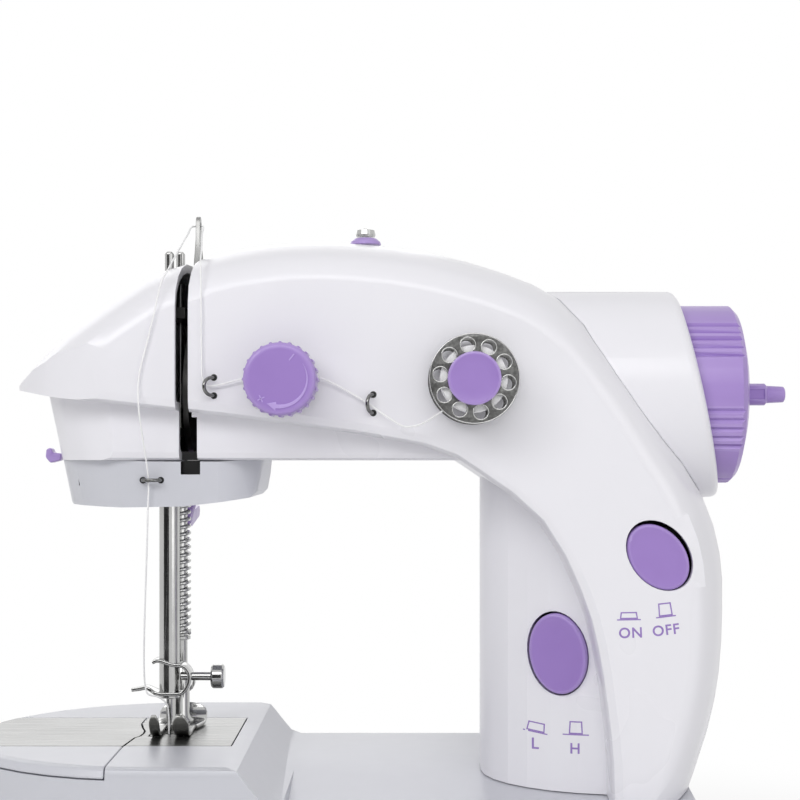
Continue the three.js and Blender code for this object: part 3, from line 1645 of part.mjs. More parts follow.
// ---------------------------------------------------------------------------
// Lower drive, hook and feed. The lower shaft runs under the needle.
// ---------------------------------------------------------------------------
const lowerY = needleY;
const hookRight = -52.8;
const hookLeft = -66;
const hookWall = 1.2;
const hookFloor = 2;
const hookHub = 3;
add(
  'lower_shaft',
  join(
    rodX(lowerY, lowerShaftZ, lowerShaftRadius, hookRight - hookFloor + 0.2, timingX + 10.5),
    rodX(lowerY, lowerShaftZ, lowerPulleyRadius, timingX, timingX + beltWidth, 20),
  ),
  steel,
);
add(
  'hook',
  cut(
    join(
      rodX(lowerY, lowerShaftZ, hookRadius, hookLeft, hookRight, 32),
      rodX(lowerY, lowerShaftZ, 2 * lowerShaftRadius, hookRight, hookRight + hookHub),
    ),
    rodX(lowerY, lowerShaftZ, hookRadius - hookWall, hookLeft - 1, hookRight - hookFloor, 32),
    rodX(lowerY, lowerShaftZ, lowerShaftRadius + gap, hookLeft, 0),
    box(hookLeft - 1, hookRight - 4, 0, hookRadius + 3, lowerShaftZ + 1, lowerShaftZ + 8),
  ),
  steel,
);
const caseRadius = hookRadius - hookWall - gap;
const caseWall = 0.9;
const caseRight = hookRight - hookFloor - gap;
const caseLeft = hookLeft - 1.5;
const casePost = 2.2;
add(
  'bobbin_case',
  join(
    cut(
      rodX(lowerY, lowerShaftZ, caseRadius, caseLeft, caseRight, 28),
      rodX(lowerY, lowerShaftZ, caseRadius - caseWall, caseLeft + 1, 0, 28),
    ),
    rodX(lowerY, lowerShaftZ, casePost, caseLeft, caseRight - 1, 12),
  ),
  darkSteel,
);
const lowerBobbinProfile = bobbinProfile(caseLeft + 1 + gap, caseRadius - caseWall - gap);
add(
  'lower_bobbin',
  cut(
    turnedX(lowerY, lowerShaftZ, lowerBobbinProfile, 24),
    rodX(lowerY, lowerShaftZ, casePost + gap, -beyond, 0, 12),
  ),
  darkSteel,
);

// Feed dog: two toothed bars on a plate that slides on top of the lower frame's left post.
const dogPlateTop = 58;
const dogPlateBottom = dogPlateTop - 1.4;
const postTop = 53.9;
const dogLeft = dogRows[0] - 2 * dogHalfWidth;
const dogRight = dogRows[1] + 2 * dogHalfWidth;
const dogBar = (x) =>
  box(x - dogHalfWidth, x + dogHalfWidth, -dogHalfLength, dogHalfLength, dogPlateTop - 1, blockTop);
add(
  'feed_dog',
  cut(
    join(
      box(dogLeft, dogRight, -7.5, 7.5, dogPlateBottom, dogPlateTop),
      ...dogRows.map(dogBar),
      box(dogRight - 3.8, dogRight, -6, 0, postTop + gap, dogPlateTop - 1),
    ),
    rodZ(needleX, needleY, bladeRadius + dogStroke + 2 * gap, 0, beyond, 12),
  ),
  steel,
);
const postLeft = -49;
const postRight = -45;
const railRight = 28;
const railThickness = 2;
const railBottom = trayTop + gap;
const railHalfDepth = 6;
add(
  'lower_frame',
  cut(
    join(
      box(postLeft, postRight, lowerY - 8, lowerY + 8, coverTop + gap, postTop),
      box(
        postLeft,
        railRight,
        lowerY - railHalfDepth,
        lowerY + railHalfDepth,
        railBottom,
        railBottom + railThickness,
      ),
      box(
        railRight - 4,
        railRight,
        lowerY - railHalfDepth,
        lowerY + railHalfDepth,
        railBottom,
        lowerShaftZ + 6,
      ),
    ),
    rodX(lowerY, lowerShaftZ, lowerShaftRadius + gap, -beyond, beyond),
  ),
  steel,
);

export default machine;
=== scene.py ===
import json
import math

import bmesh
import bpy
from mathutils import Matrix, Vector
from mathutils.bvhtree import BVHTree

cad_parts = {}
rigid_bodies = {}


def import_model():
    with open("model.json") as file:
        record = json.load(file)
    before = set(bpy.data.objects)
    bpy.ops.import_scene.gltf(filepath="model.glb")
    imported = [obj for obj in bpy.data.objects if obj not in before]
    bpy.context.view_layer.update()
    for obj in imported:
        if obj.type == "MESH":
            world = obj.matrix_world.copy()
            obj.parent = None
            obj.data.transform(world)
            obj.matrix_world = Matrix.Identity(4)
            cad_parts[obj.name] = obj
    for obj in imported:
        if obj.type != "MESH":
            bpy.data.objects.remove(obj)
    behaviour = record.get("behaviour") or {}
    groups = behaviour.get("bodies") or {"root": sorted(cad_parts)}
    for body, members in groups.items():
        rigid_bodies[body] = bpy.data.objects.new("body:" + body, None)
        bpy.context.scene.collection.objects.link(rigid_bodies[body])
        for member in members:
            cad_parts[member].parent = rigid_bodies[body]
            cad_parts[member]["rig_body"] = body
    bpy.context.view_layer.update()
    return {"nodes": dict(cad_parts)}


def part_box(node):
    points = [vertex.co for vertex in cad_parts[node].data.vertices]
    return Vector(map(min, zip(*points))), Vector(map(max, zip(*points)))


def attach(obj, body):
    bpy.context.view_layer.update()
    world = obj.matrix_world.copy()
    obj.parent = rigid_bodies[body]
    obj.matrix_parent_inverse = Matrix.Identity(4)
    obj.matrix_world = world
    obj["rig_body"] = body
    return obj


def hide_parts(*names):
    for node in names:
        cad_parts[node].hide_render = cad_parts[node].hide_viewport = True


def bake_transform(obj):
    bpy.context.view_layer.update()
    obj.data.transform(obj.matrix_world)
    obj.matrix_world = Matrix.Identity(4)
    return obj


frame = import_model()
scene = bpy.context.scene
mm = 0.001
print("loaded", len(frame["nodes"]), "CAD nodes")

# Camera: a long lens, level with the arm, a little above the middle of the machine
cameraSettings = {
    "lens": 72.9,
    "place": (0.0052, -0.4, 0.1334),
    "tilt": 0.0,  # degrees down
    "shiftUp": 0.0625,
}


def makeCamera():
    data = bpy.data.cameras.new("camera")
    data.lens = cameraSettings["lens"]
    data.shift_y = cameraSettings["shiftUp"]
    data.clip_start = 0.01
    data.clip_end = 30
    camera = bpy.data.objects.new("camera", data)
    camera.location = cameraSettings["place"]
    camera.rotation_euler.x = math.radians(90 - cameraSettings["tilt"])
    scene.collection.objects.link(camera)
    scene.camera = camera


makeCamera()
scene.view_settings.view_transform = "Standard"

# Studio: a pale surround with large soft lamps at the left, right, front, top and rear
studio = {
    "surround": 0.42,
    "lamps": {
        # place, what it points at, size, watts
        "keyLeft": ((-0.55, -0.75, 0.62), (-0.02, 0, 0.12), (0.4, 0.4), 2.3),
        "fillRight": ((0.75, -0.7, 0.35), (0.02, 0, 0.1), (0.5, 0.8), 1.35),
        "front": ((-0.02, -0.8, 0.6), (0, 0, 0.17), (0.6, 0.3), 1.9),
        "top": ((0.05, -0.05, 0.95), (0, 0, 0.1), (0.8, 0.5), 0.4),
        "rear": ((-0.3, 0.9, 0.5), (0, 0, 0.1), (0.8, 0.6), 1.2),
    },
    # stands round the needle bar: angles from straight ahead, distance and height
    "darkCard": {"from": -58, "to": 3, "middle": (-0.051, -0.003), "distance": 0.37, "height": 0.25},
    "floorColour": (0.9, 0.9, 0.9, 1),
    "shadowFades": {"from": 0.1, "to": 0.34, "glowNear": 0.55},  # distances from the machine's middle
}


# White for camera, glossy and transmission rays, and a plain level for lighting
def whiteWhereSeen(tree):
    path = tree.nodes.new("ShaderNodeLightPath")
    seen = path.outputs["Is Camera Ray"]
    for ray in ("Is Transmission Ray", "Is Glossy Ray"):
        either = tree.nodes.new("ShaderNodeMath")
        either.operation = "MAXIMUM"
        tree.links.new(seen, either.inputs[0])
        tree.links.new(path.outputs[ray], either.inputs[1])
        seen = either.outputs[0]
    return seen


# Mixes two shaders by a share and sends them to the tree's output
def mixInto(tree, share, first, second, output):
    mix = tree.nodes.new("ShaderNodeMixShader")
    for socket, source in zip(mix.inputs, (share, first.outputs[0], second.outputs[0])):
        tree.links.new(source, socket)
    tree.links.new(mix.outputs[0], tree.nodes[output].inputs["Surface"])


def makeSurround():
    world = bpy.data.worlds.new("surround")
    world.use_nodes = True
    tree = world.node_tree
    lighting = tree.nodes["Background"]
    lighting.inputs["Color"].default_value = (1, 1, 1, 1)
    lighting.inputs["Strength"].default_value = studio["surround"]
    seen = tree.nodes.new("ShaderNodeBackground")
    seen.inputs["Color"].default_value = (1, 1, 1, 1)
    seen.inputs["Strength"].default_value = 1
    mixInto(tree, whiteWhereSeen(tree), lighting, seen, "World Output")
    scene.world = world


def makeLamps():
    for name, (place, target, size, watts) in studio["lamps"].items():
        data = bpy.data.lights.new(name, "AREA")
        data.shape = "RECTANGLE"
        data.size, data.size_y = size
        data.energy = watts
        lamp = bpy.data.objects.new(name, data)
        lamp.location = place
        aim = Vector(target) - Vector(place)
        lamp.rotation_euler = aim.to_track_quat("-Z", "Y").to_euler()
        scene.collection.objects.link(lamp)


# The floor is a plain sheet, nearly white where the camera sees it and still shaded by the machine
def makeFloor():
    mesh = bpy.data.meshes.new("floor")
    half = 6.0
    corners = [(-half, -half, 0), (half, -half, 0), (half, half, 0), (-half, half, 0)]
    mesh.from_pydata(corners, [], [(0, 1, 2, 3)])
    floor = bpy.data.objects.new("floor", mesh)
    floor.location.z = -0.0002
    scene.collection.objects.link(floor)
    mat = bpy.data.materials.new("paperFloor")
    mat.use_nodes = True
    tree = mat.node_tree
    paper = tree.nodes["Principled BSDF"]
    paper.inputs["Base Color"].default_value = studio["floorColour"]
    paper.inputs["Roughness"].default_value = 0.9
    paper.inputs["Specular IOR Level"].default_value = 0.1
    glow = tree.nodes.new("ShaderNodeEmission")
    glow.inputs["Color"].default_value = (1, 1, 1, 1)
    glow.inputs["Strength"].default_value = 1
    place = tree.nodes.new("ShaderNodeTexCoord")
    away = tree.nodes.new("ShaderNodeVectorMath")
    away.operation = "LENGTH"
    tree.links.new(place.outputs["Object"], away.inputs[0])
    fades = studio["shadowFades"]
    glowShare = tree.nodes.new("ShaderNodeMapRange")
    glowShare.interpolation_type = "SMOOTHSTEP"
    glowShare.inputs["From Min"].default_value = fades["from"]
    glowShare.inputs["From Max"].default_value = fades["to"]
    glowShare.inputs["To Min"].default_value = fades["glowNear"]
    tree.links.new(away.outputs["Value"], glowShare.inputs["Value"])
    share = tree.nodes.new("ShaderNodeMath")
    share.operation = "MULTIPLY"
    tree.links.new(whiteWhereSeen(tree), share.inputs[0])
    tree.links.new(glowShare.outputs["Result"], share.inputs[1])
    mixInto(tree, share.outputs[0], paper, glow, "Material Output")
    mesh.materials.append(mat)


# A dark card beside the camera, only for the dark streak that it leaves on polished metal
def makeDarkCard():
    card = studio["darkCard"]
    mesh = bpy.data.meshes.new("darkCard")
    corners, strips = [], 8
    for i in range(strips + 1):
        angle = math.radians(card["from"] + (card["to"] - card["from"]) * i / strips)
        x = card["middle"][0] + card["distance"] * math.sin(angle)
        y = card["middle"][1] - card["distance"] * math.cos(angle)
        corners += [(x, y, 0), (x, y, card["height"])]
    mesh.from_pydata(corners, [], [(2 * i, 2 * i + 2, 2 * i + 3, 2 * i + 1) for i in range(strips)])
    mat = bpy.data.materials.new("darkCard")
    mat.use_nodes = True
    mat.node_tree.nodes["Principled BSDF"].inputs["Base Color"].default_value = (0.01, 0.01, 0.01, 1)
    mesh.materials.append(mat)
    piece = bpy.data.objects.new("darkCard", mesh)
    for kind in ("camera", "diffuse", "shadow", "transmission", "volume_scatter"):
        setattr(piece, "visible_" + kind, False)
    scene.collection.objects.link(piece)


makeSurround()
makeLamps()
makeFloor()
makeDarkCard()
print("studio ready")


# Materials
def rgb(red, green, blue):
    linear = [((c / 255 + 0.055) / 1.055) ** 2.4 if c > 10 else c / 255 / 12.92 for c in (red, green, blue)]
    return (*linear, 1)


def noise(tree, scale, detail=2.0, stretch=None):
    place = tree.nodes.new("ShaderNodeTexCoord")
    texture = tree.nodes.new("ShaderNodeTexNoise")
    texture.inputs["Scale"].default_value = scale
    texture.inputs["Detail"].default_value = detail
    if stretch:
        mapping = tree.nodes.new("ShaderNodeMapping")
        mapping.inputs["Scale"].default_value = stretch
        tree.links.new(place.outputs["Object"], mapping.inputs["Vector"])
        tree.links.new(mapping.outputs[0], texture.inputs["Vector"])
    else:
        tree.links.new(place.outputs["Object"], texture.inputs["Vector"])
    return texture.outputs["Fac"]


def spread(tree, value, low, high, fromLow=0.3, fromHigh=0.7):
    remap = tree.nodes.new("ShaderNodeMapRange")
    remap.inputs["From Min"].default_value = fromLow
    remap.inputs["From Max"].default_value = fromHigh
    remap.inputs["To Min"].default_value = low
    remap.inputs["To Max"].default_value = high
    tree.links.new(value, remap.inputs["Value"])
    return remap.outputs["Result"]


def mixColours(tree, factor, first, second):
    mix = tree.nodes.new("ShaderNodeMix")
    mix.data_type = "RGBA"
    tree.links.new(factor, mix.inputs["Factor"])
    for socket, colour in ((mix.inputs["A"], first), (mix.inputs["B"], second)):
        if hasattr(colour, "is_linked"):
            tree.links.new(colour, socket)
        else:
            socket.default_value = colour
    return mix.outputs["Result"]


def addBump(tree, shader, height, strength, distance):
    bump = tree.nodes.new("ShaderNodeBump")
    bump.inputs["Strength"].default_value = strength
    bump.inputs["Distance"].default_value = distance
    tree.links.new(height, bump.inputs["Height"])
    tree.links.new(bump.outputs["Normal"], shader.inputs["Normal"])


# A surface with two close tones, uneven gloss, a fine relief and, where asked, a painted highlight on sharp
# edges
def makeFinish(name, look):
    mat = bpy.data.materials.new(name)
    mat.use_nodes = True
    tree = mat.node_tree
    shader = tree.nodes["Principled BSDF"]
    tone = spread(tree, noise(tree, look["toneScale"], 3), 0, 1)
    colour = mixColours(tree, tone, look["colour"], look["second"])
    if "edge" in look:  # painted highlight: sharp edges, found by pointiness, get a lighter colour that stands for the light they catch
        shape = tree.nodes.new("ShaderNodeNewGeometry")
        edgeHighlight = spread(tree, shape.outputs["Pointiness"], 0, look["edgeHighlightShare"], 0.505, 0.56)
        colour = mixColours(tree, edgeHighlight, colour, look["edge"])
    tree.links.new(colour, shader.inputs["Base Color"])
    gloss = noise(tree, look["glossScale"], 3, look.get("stretch"))
    rough = spread(tree, gloss, look["rough"] - look["roughSpread"], look["rough"] + look["roughSpread"])
    tree.links.new(rough, shader.inputs["Roughness"])
    relief = noise(tree, look["reliefScale"], 2, look.get("stretch"))
    addBump(tree, shader, relief, look["relief"], look["reliefDepth"])
    shader.inputs["Metallic"].default_value = look.get("metal", 0)
    return mat


def relief(scale, strength, depth=0.0001):
    return {"reliefScale": scale, "relief": strength, "reliefDepth": depth}


fineRelief = relief(900, 0.06)
finishes = {
    "skinWhite": {
        "colour": rgb(238, 237, 242), "second": rgb(237.5, 236.5, 241.6), "toneScale": 9,
        "rough": 0.28, "roughSpread": 0.01, "glossScale": 20, **fineRelief,
    },
    # painted shade: the same white plastic as skinWhite, made darker for the housing, base and covers, which
    # get less light
    "shadedPanelWhite": {
        "colour": rgb(206, 207, 214), "second": rgb(205, 206, 213), "toneScale": 180,
        "rough": 0.33, "roughSpread": 0.015, "glossScale": 260, **fineRelief,
    },
    "violetPlastic": {
        "colour": rgb(158, 128, 199), "second": rgb(156, 126, 197), "toneScale": 180,
        "rough": 0.3, "roughSpread": 0.02, "glossScale": 260, **fineRelief,
        # painted highlight: the lighter violet on sharp edges stands for light catching the teeth, rims and
        # bevels
        "edge": rgb(196, 174, 228), "edgeHighlightShare": 0.5,
    },
    "polishedSteel": {
        "colour": rgb(188, 188, 187), "second": rgb(178, 178, 177), "toneScale": 60, "metal": 1,
        "rough": 0.14, "roughSpread": 0.05, "glossScale": 220, **relief(700, 0.05),
    },
    "brushedSteel": {
        "colour": rgb(142, 142, 141), "second": rgb(133, 133, 132), "toneScale": 40, "metal": 1,
        "rough": 0.3, "roughSpread": 0.08, "glossScale": 60, "stretch": (1, 40, 1), **relief(60, 0.08),
    },
    "wireSteel": {
        "colour": rgb(128, 128, 127), "second": rgb(112, 112, 111), "toneScale": 200, "metal": 1,
        "rough": 0.16, "roughSpread": 0.05, "glossScale": 400, **fineRelief,
    },
    "darkSteel": {
        "colour": rgb(120, 120, 118), "second": rgb(100, 100, 99), "toneScale": 200, "metal": 1,
        "rough": 0.38, "roughSpread": 0.1, "glossScale": 500, **relief(1500, 0.12),
    },
    # painted reflection: the toes' near-black colour stands for the dark that their polished steel reflects,
    # and the light edge colour is painted highlight
    "toePaintedReflection": {
        "colour": rgb(24, 24, 22), "second": rgb(18, 18, 17), "toneScale": 300, "metal": 1,
        "rough": 0.2, "roughSpread": 0.05, "glossScale": 300, **fineRelief,
        "edge": rgb(225, 225, 222), "edgeHighlightShare": 0.9,
    },
    "speckledSteel": {
        "colour": rgb(118, 118, 117), "second": rgb(84, 84, 83), "toneScale": 1400, "metal": 1,
        "rough": 0.36, "roughSpread": 0.12, "glossScale": 1800, **relief(2600, 0.3),
    },
    "violetRaised": {
        "colour": rgb(190, 166, 226), "second": rgb(184, 158, 222), "toneScale": 60,
        "rough": 0.28, "roughSpread": 0.04, "glossScale": 90, **fineRelief,
    },
    "blackPlastic": {
        "colour": rgb(30, 30, 31), "second": rgb(24, 24, 25), "toneScale": 60,
        "rough": 0.45, "roughSpread": 0.06, "glossScale": 200, **fineRelief,
    },
    "footRubber": {
        "colour": rgb(46, 46, 48), "second": rgb(38, 38, 40), "toneScale": 90,
        "rough": 0.8, "roughSpread": 0.06, "glossScale": 300, **relief(1800, 0.3, 0.0002),
    },
    "yellowBrass": {
        "colour": rgb(205, 176, 106), "second": rgb(192, 160, 92), "toneScale": 100, "metal": 1,
        "rough": 0.3, "roughSpread": 0.07, "glossScale": 400, **relief(1200, 0.1),
    },
    "whiteCotton": {
        "colour": rgb(253, 253, 253), "second": rgb(246, 246, 247), "toneScale": 1500,
        "rough": 0.85, "roughSpread": 0.05, "glossScale": 900, **relief(4000, 0.2),
    },
    "violetInk": {
        "colour": rgb(146, 118, 188), "second": rgb(156, 130, 194), "toneScale": 700,
        "rough": 0.4, "roughSpread": 0.05, "glossScale": 900, **relief(2500, 0.1, 0.00005),
    },
}
materials = {name: makeFinish(name, look) for name, look in finishes.items()}
print("materials ready:", len(materials))


def addPiece(name, mesh, material, body):
    mesh.materials.clear()
    mesh.materials.append(materials[material])
    piece = bpy.data.objects.new(name, mesh)
    scene.collection.objects.link(piece)
    if body:
        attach(piece, body)
    return piece


def bevelEdges(piece, width, segments=2, angle=32):
    bevel = piece.modifiers.new("roundedEdges", "BEVEL")
    bevel.width = width
    bevel.segments = segments
    bevel.limit_method = "ANGLE"
    bevel.angle_limit = math.radians(angle)
    bevel.harden_normals = True
    bevel.use_clamp_overlap = True


# Triangles this close in angle are joined into one face; the leaning housing needs finer care
joinedWithin = {"usual": 0.4, "head_housing": 0.05}  # degrees


# A CAD node's own shape with clean faces, rounded edges and smooth shading
def smoothCopy(node, material, edge, crease=32):
    source = frame["nodes"][node]
    work = bmesh.new()
    work.from_mesh(source.data)
    bmesh.ops.remove_doubles(work, verts=work.verts, dist=1e-7)
    flatWithin = math.radians(joinedWithin.get(node, joinedWithin["usual"]))
    bmesh.ops.dissolve_limit(
        work, angle_limit=flatWithin, verts=work.verts, edges=work.edges, use_dissolve_boundaries=False
    )
    mesh = bpy.data.meshes.new(node + "_fine")
    work.to_mesh(mesh)
    work.free()
    mesh.shade_smooth()
    mesh.set_sharp_from_angle(angle=math.radians(crease))
    piece = addPiece(node + "_fine", mesh, material, source["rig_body"])
    if edge:
        bevelEdges(piece, edge * mm, angle=crease)
    level = piece.modifiers.new("flatFacesStayFlat", "WEIGHTED_NORMAL")
    level.keep_sharp = True
    level.weight = 80
    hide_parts(node)


# node: material, record slot, edge radius in mm
castings = {
    "front_shell": ("skinWhite", "white_plastic", 0.3),
    "rear_shell": ("skinWhite", "white_plastic", 0.3),
    # the housing, base and covers take the darker white, which is painted shade
    "head_housing": ("shadedPanelWhite", "white_plastic", 0.3),
    "wheel_collar": ("skinWhite", "white_plastic", 0.7),
    "base_shell": ("shadedPanelWhite", "white_plastic", 0.5),
    "bottom_cover": ("shadedPanelWhite", "white_plastic", 0.4),
    "battery_door": ("shadedPanelWhite", "white_plastic", 0.2),
    "slide_cover": ("shadedPanelWhite", "white_plastic", 0.3),
    "slide_plate": ("brushedSteel", "steel", 0.1),
    "needle_plate": ("brushedSteel", "steel", 0.1),
    "handwheel": ("violetPlastic", "purple_plastic", 0.15),
    "thread_cutter": ("violetPlastic", "purple_plastic", 0.4),
    "top_boss": ("violetPlastic", "purple_plastic", 0.3),
    "presser_lifter": ("violetPlastic", "purple_plastic", 0.3),
    "needle_bar": ("polishedSteel", "steel", 0.15),
    "presser_bar": ("polishedSteel", "steel", 0.15),
    "clamp_screw": ("polishedSteel", "steel", 0.1),
    "needle": ("polishedSteel", "steel", 0.05),
    "foot_screw": ("polishedSteel", "steel", 0.15),
    "take_up_lever": ("brushedSteel", "steel", 0.15),
    "tension_stud": ("polishedSteel", "steel", 0.1),
    "tension_disc_rear": ("polishedSteel", "steel", 0.1),
    "tension_disc_front": ("polishedSteel", "steel", 0.1),
    "tension_spring": ("polishedSteel", "steel", 0),
    "top_boss_screw": ("polishedSteel", "steel", 0.1),
    "power_socket": ("blackPlastic", "black_plastic", 0.15),
    "power_switch": ("blackPlastic", "black_plastic", 0.15),
    "speed_switch": ("blackPlastic", "black_plastic", 0.15),
    "motor": ("polishedSteel", "dark_steel", 0.3),
    "motor_pulley": ("yellowBrass", "brass", 0.1),
    "motor_belt": ("footRubber", "rubber", 0.2),
    "timing_belt": ("footRubber", "rubber", 0.2),
    "shaft_pulleys": ("blackPlastic", "black_plastic", 0.15),
    "main_shaft": ("polishedSteel", "steel", 0.15),
    "lower_shaft": ("polishedSteel", "steel", 0.15),
    "crank_disc": ("darkSteel", "dark_steel", 0.15),
    "needle_bar_yoke": ("darkSteel", "dark_steel", 0.2),
    "hook": ("polishedSteel", "steel", 0.2),
    "bobbin_case": ("darkSteel", "dark_steel", 0.2),
    "lower_bobbin": ("darkSteel", "dark_steel", 0.08),
    "feed_dog": ("polishedSteel", "steel", 0.08),
    "arm_frame": ("darkSteel", "steel", 0.3),
    "lower_frame": ("darkSteel", "steel", 0.3),
}
for corner in ("front_left", "rear_left", "front_right", "rear_right"):
    castings["foot_" + corner] = ("footRubber", "rubber", 0.2)


def makeCastings():
    for node, (material, slot, edge) in castings.items():
        smoothCopy(node, material, edge)


makeCastings()
print("castings ready:", len(castings))

# Details that the plain castings lack
detail = {
    "collarRound": 2.0,
    "seamReach": 0.36, "seamShare": 0.8,
    "seams": {"wheel_collar": ("front_shell", "rear_shell"), "head_housing": ("front_shell", "rear_shell")},
    "lifterTab": (-52.6, -49.2), "lifterTabTop": 119.6,
    # left and right, front and back, bottom and top of the recess, whose casing faces get painted shade
    "recess": ((-46.1, -41.1), (-24.9, -19.3), (127.5, 133.5)),
    "leverHalf": 0.9, "leverWideFrom": 170, "leverWideTo": 183,
}


def reshape(node, change):
    mesh = bpy.data.objects[node + "_fine"].data
    work = bmesh.new()
    work.from_mesh(mesh)
    change(work)
    work.to_mesh(mesh)
    work.free()


# The collar's outer rim at the handwheel is well rounded
def roundCollarEnd(work):
    radius = max(vert.co.y for vert in work.verts)
    axis = (max(vert.co.z for vert in work.verts) + min(vert.co.z for vert in work.verts)) / 2
    work.faces.ensure_lookup_table()
    tilt = max(work.faces, key=lambda face: face.normal.x * face.calc_area()).normal.copy()

    def onRim(vert):
        return abs(math.hypot(vert.co.y, vert.co.z - axis) - radius) < 0.3 * mm

    ends = [face for face in work.faces if face.normal.dot(tilt) > 0.995]
    rim = {edge for face in ends for edge in face.edges if onRim(edge.verts[0]) and onRim(edge.verts[1])}
    bmesh.ops.bevel(
        work, geom=list(rim), offset=detail["collarRound"] * mm, offset_type="OFFSET",
        segments=6, profile=0.5, affect="EDGES",
    )


# The plain surface of some CAD nodes, to look up the nearest or the first point on it
def surfaceOf(nodes):
    corners, faces = [], []
    for node in nodes:
        data = frame["nodes"][node].data
        start = len(corners)
        corners += [vert.co.copy() for vert in data.vertices]
        faces += [tuple(start + i for i in poly.vertices) for poly in data.polygons]
    return BVHTree.FromPolygons(corners, faces)


# Castings that meet are drawn close, so that only a fine line is left between them
def closeSeams():
    for node, neighbours in detail["seams"].items():
        tree = surfaceOf(neighbours)

        def draw(work):
            for vert in work.verts:
                place = tree.find_nearest(vert.co, detail["seamReach"] * mm)[0]
                if place:
                    vert.co = vert.co.lerp(place, detail["seamShare"])

        reshape(node, draw)


# The lifter's handle ends in a narrow tab
def narrowLifterTab(work):
    left, right = detail["lifterTab"]
    for vert in work.verts:
        if vert.co.z < detail["lifterTabTop"] * mm:
            vert.co.x = min(max(vert.co.x, left * mm), right * mm)


# The take-up lever is broadest just below its eye
def widenLever(work):
    middle = (max(vert.co.x for vert in work.verts) + min(vert.co.x for vert in work.verts)) / 2
    for vert in work.verts:
        if detail["leverWideFrom"] * mm < vert.co.z < detail["leverWideTo"] * mm:
            vert.co.x = middle + math.copysign(detail["leverHalf"] * mm, vert.co.x - middle)


# Painted shade: the casing faces in the recess at the slot's foot get the black plastic finish, for the dark of
# the head that the recess looks into
def paintRecessShade():
    for node in ("head_housing", "front_shell"):
        piece = bpy.data.objects[node + "_fine"]
        piece.data.materials.append(materials["blackPlastic"])
        for face in piece.data.polygons:
            place = face.center / mm
            if all(low < value < high for value, (low, high) in zip(place, detail["recess"])):
                face.material_index = 1


paintRecessShade()
reshape("wheel_collar", roundCollarEnd)
reshape("presser_lifter", narrowLifterTab)
reshape("take_up_lever", widenLever)
closeSeams()
print("casting details ready")

# Mesh tools. Points are in millimetres until the mesh is written
directions = {  # two directions across and the one along
    "front": (Vector((1, 0, 0)), Vector((0, 0, 1)), Vector((0, -1, 0))),
    "up": (Vector((1, 0, 0)), Vector((0, 1, 0)), Vector((0, 0, 1))),
}


def boxOf(node):
    low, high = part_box(node)
    return Vector(low) / mm, Vector(high) / mm


def middleOf(node):
    low, high = boxOf(node)
    return (low + high) / 2


def meshFrom(work, name, crease=35):
    bmesh.ops.remove_doubles(work, verts=work.verts, dist=0.0005)
    bmesh.ops.recalc_face_normals(work, faces=work.faces)
    bmesh.ops.scale(work, vec=(mm, mm, mm), verts=work.verts)
    mesh = bpy.data.meshes.new(name)
    work.to_mesh(mesh)
    work.free()
    mesh.shade_smooth()
    mesh.set_sharp_from_angle(angle=math.radians(crease))
    return mesh


def loft(work, rings, closed=False):
    rows = [[work.verts.new(point) for point in ring] for ring in rings]
    pairs = list(zip(rows, rows[1:]))
    if closed:
        pairs.append((rows[-1], rows[0]))
    count = len(rows[0])
    for lower, upper in pairs:
        for i in range(count):
            j = (i + 1) % count
            work.faces.new((lower[i], lower[j], upper[j], upper[i]))
    if not closed:
        work.faces.new(rows[0][::-1])
        work.faces.new(rows[-1])


# A turned form from (radius, place along) pairs; ribs(angle, radius, place) may change the radius
def turn(work, centre, direction, profile, sides=64, closed=False, ribs=None):
    across, up, along = directions[direction]
    rings = []
    for radius, place in profile:
        ring = []
        for i in range(sides):
            angle = 2 * math.pi * i / sides
            r = ribs(angle, radius, place) if ribs else radius
            ring.append(centre + across * r * math.cos(angle) + up * r * math.sin(angle) + along * place)
        rings.append(ring)
    loft(work, rings, closed)


# A smooth route through points, with even tension however far apart they are
def smoothRoute(points, perSpan):
    points = [Vector(point) for point in points]
    ends = [2 * points[0] - points[1], *points, 2 * points[-1] - points[-2]]
    route = []
    for p0, p1, p2, p3 in zip(ends, ends[1:], ends[2:], ends[3:]):
        t1 = (p1 - p0).length ** 0.5
        t2 = t1 + (p2 - p1).length ** 0.5
        t3 = t2 + (p3 - p2).length ** 0.5
        for step in range(perSpan):
            t = t1 + (t2 - t1) * step / perSpan
            a1 = p0.lerp(p1, t / t1)
            a2 = p1.lerp(p2, (t - t1) / (t2 - t1))
            a3 = p2.lerp(p3, (t - t2) / (t3 - t2))
            route.append(a1.lerp(a2, t / t2).lerp(a2.lerp(a3, (t - t1) / (t3 - t1)), (t - t1) / (t2 - t1)))
    route.append(points[-1])
    return route


# Round stock along a route. ply above 0 gives the two twisted yarns of a thread
def tube(work, route, radius, sides=12, ply=0.0, lay=1.6):
    heading = (route[1] - route[0]).normalized()
    side = heading.orthogonal().normalized()
    rings = []
    run = 0.0
    for i, point in enumerate(route):
        ahead = route[min(i + 1, len(route) - 1)] - route[max(i - 1, 0)]
        turned = heading.rotation_difference(ahead.normalized())
        side = turned @ side
        heading = ahead.normalized()
        side = (side - heading * side.dot(heading)).normalized()
        other = heading.cross(side)
        run += (point - route[max(i - 1, 0)]).length
        twist = 2 * math.pi * run / lay
        ring = []
        for k in range(sides):
            angle = 2 * math.pi * k / sides
            r = radius * (1 + ply * math.cos(2 * (angle - twist)))
            ring.append(point + (side * math.cos(angle) + other * math.sin(angle)) * r)
        rings.append(ring)
    loft(work, rings)


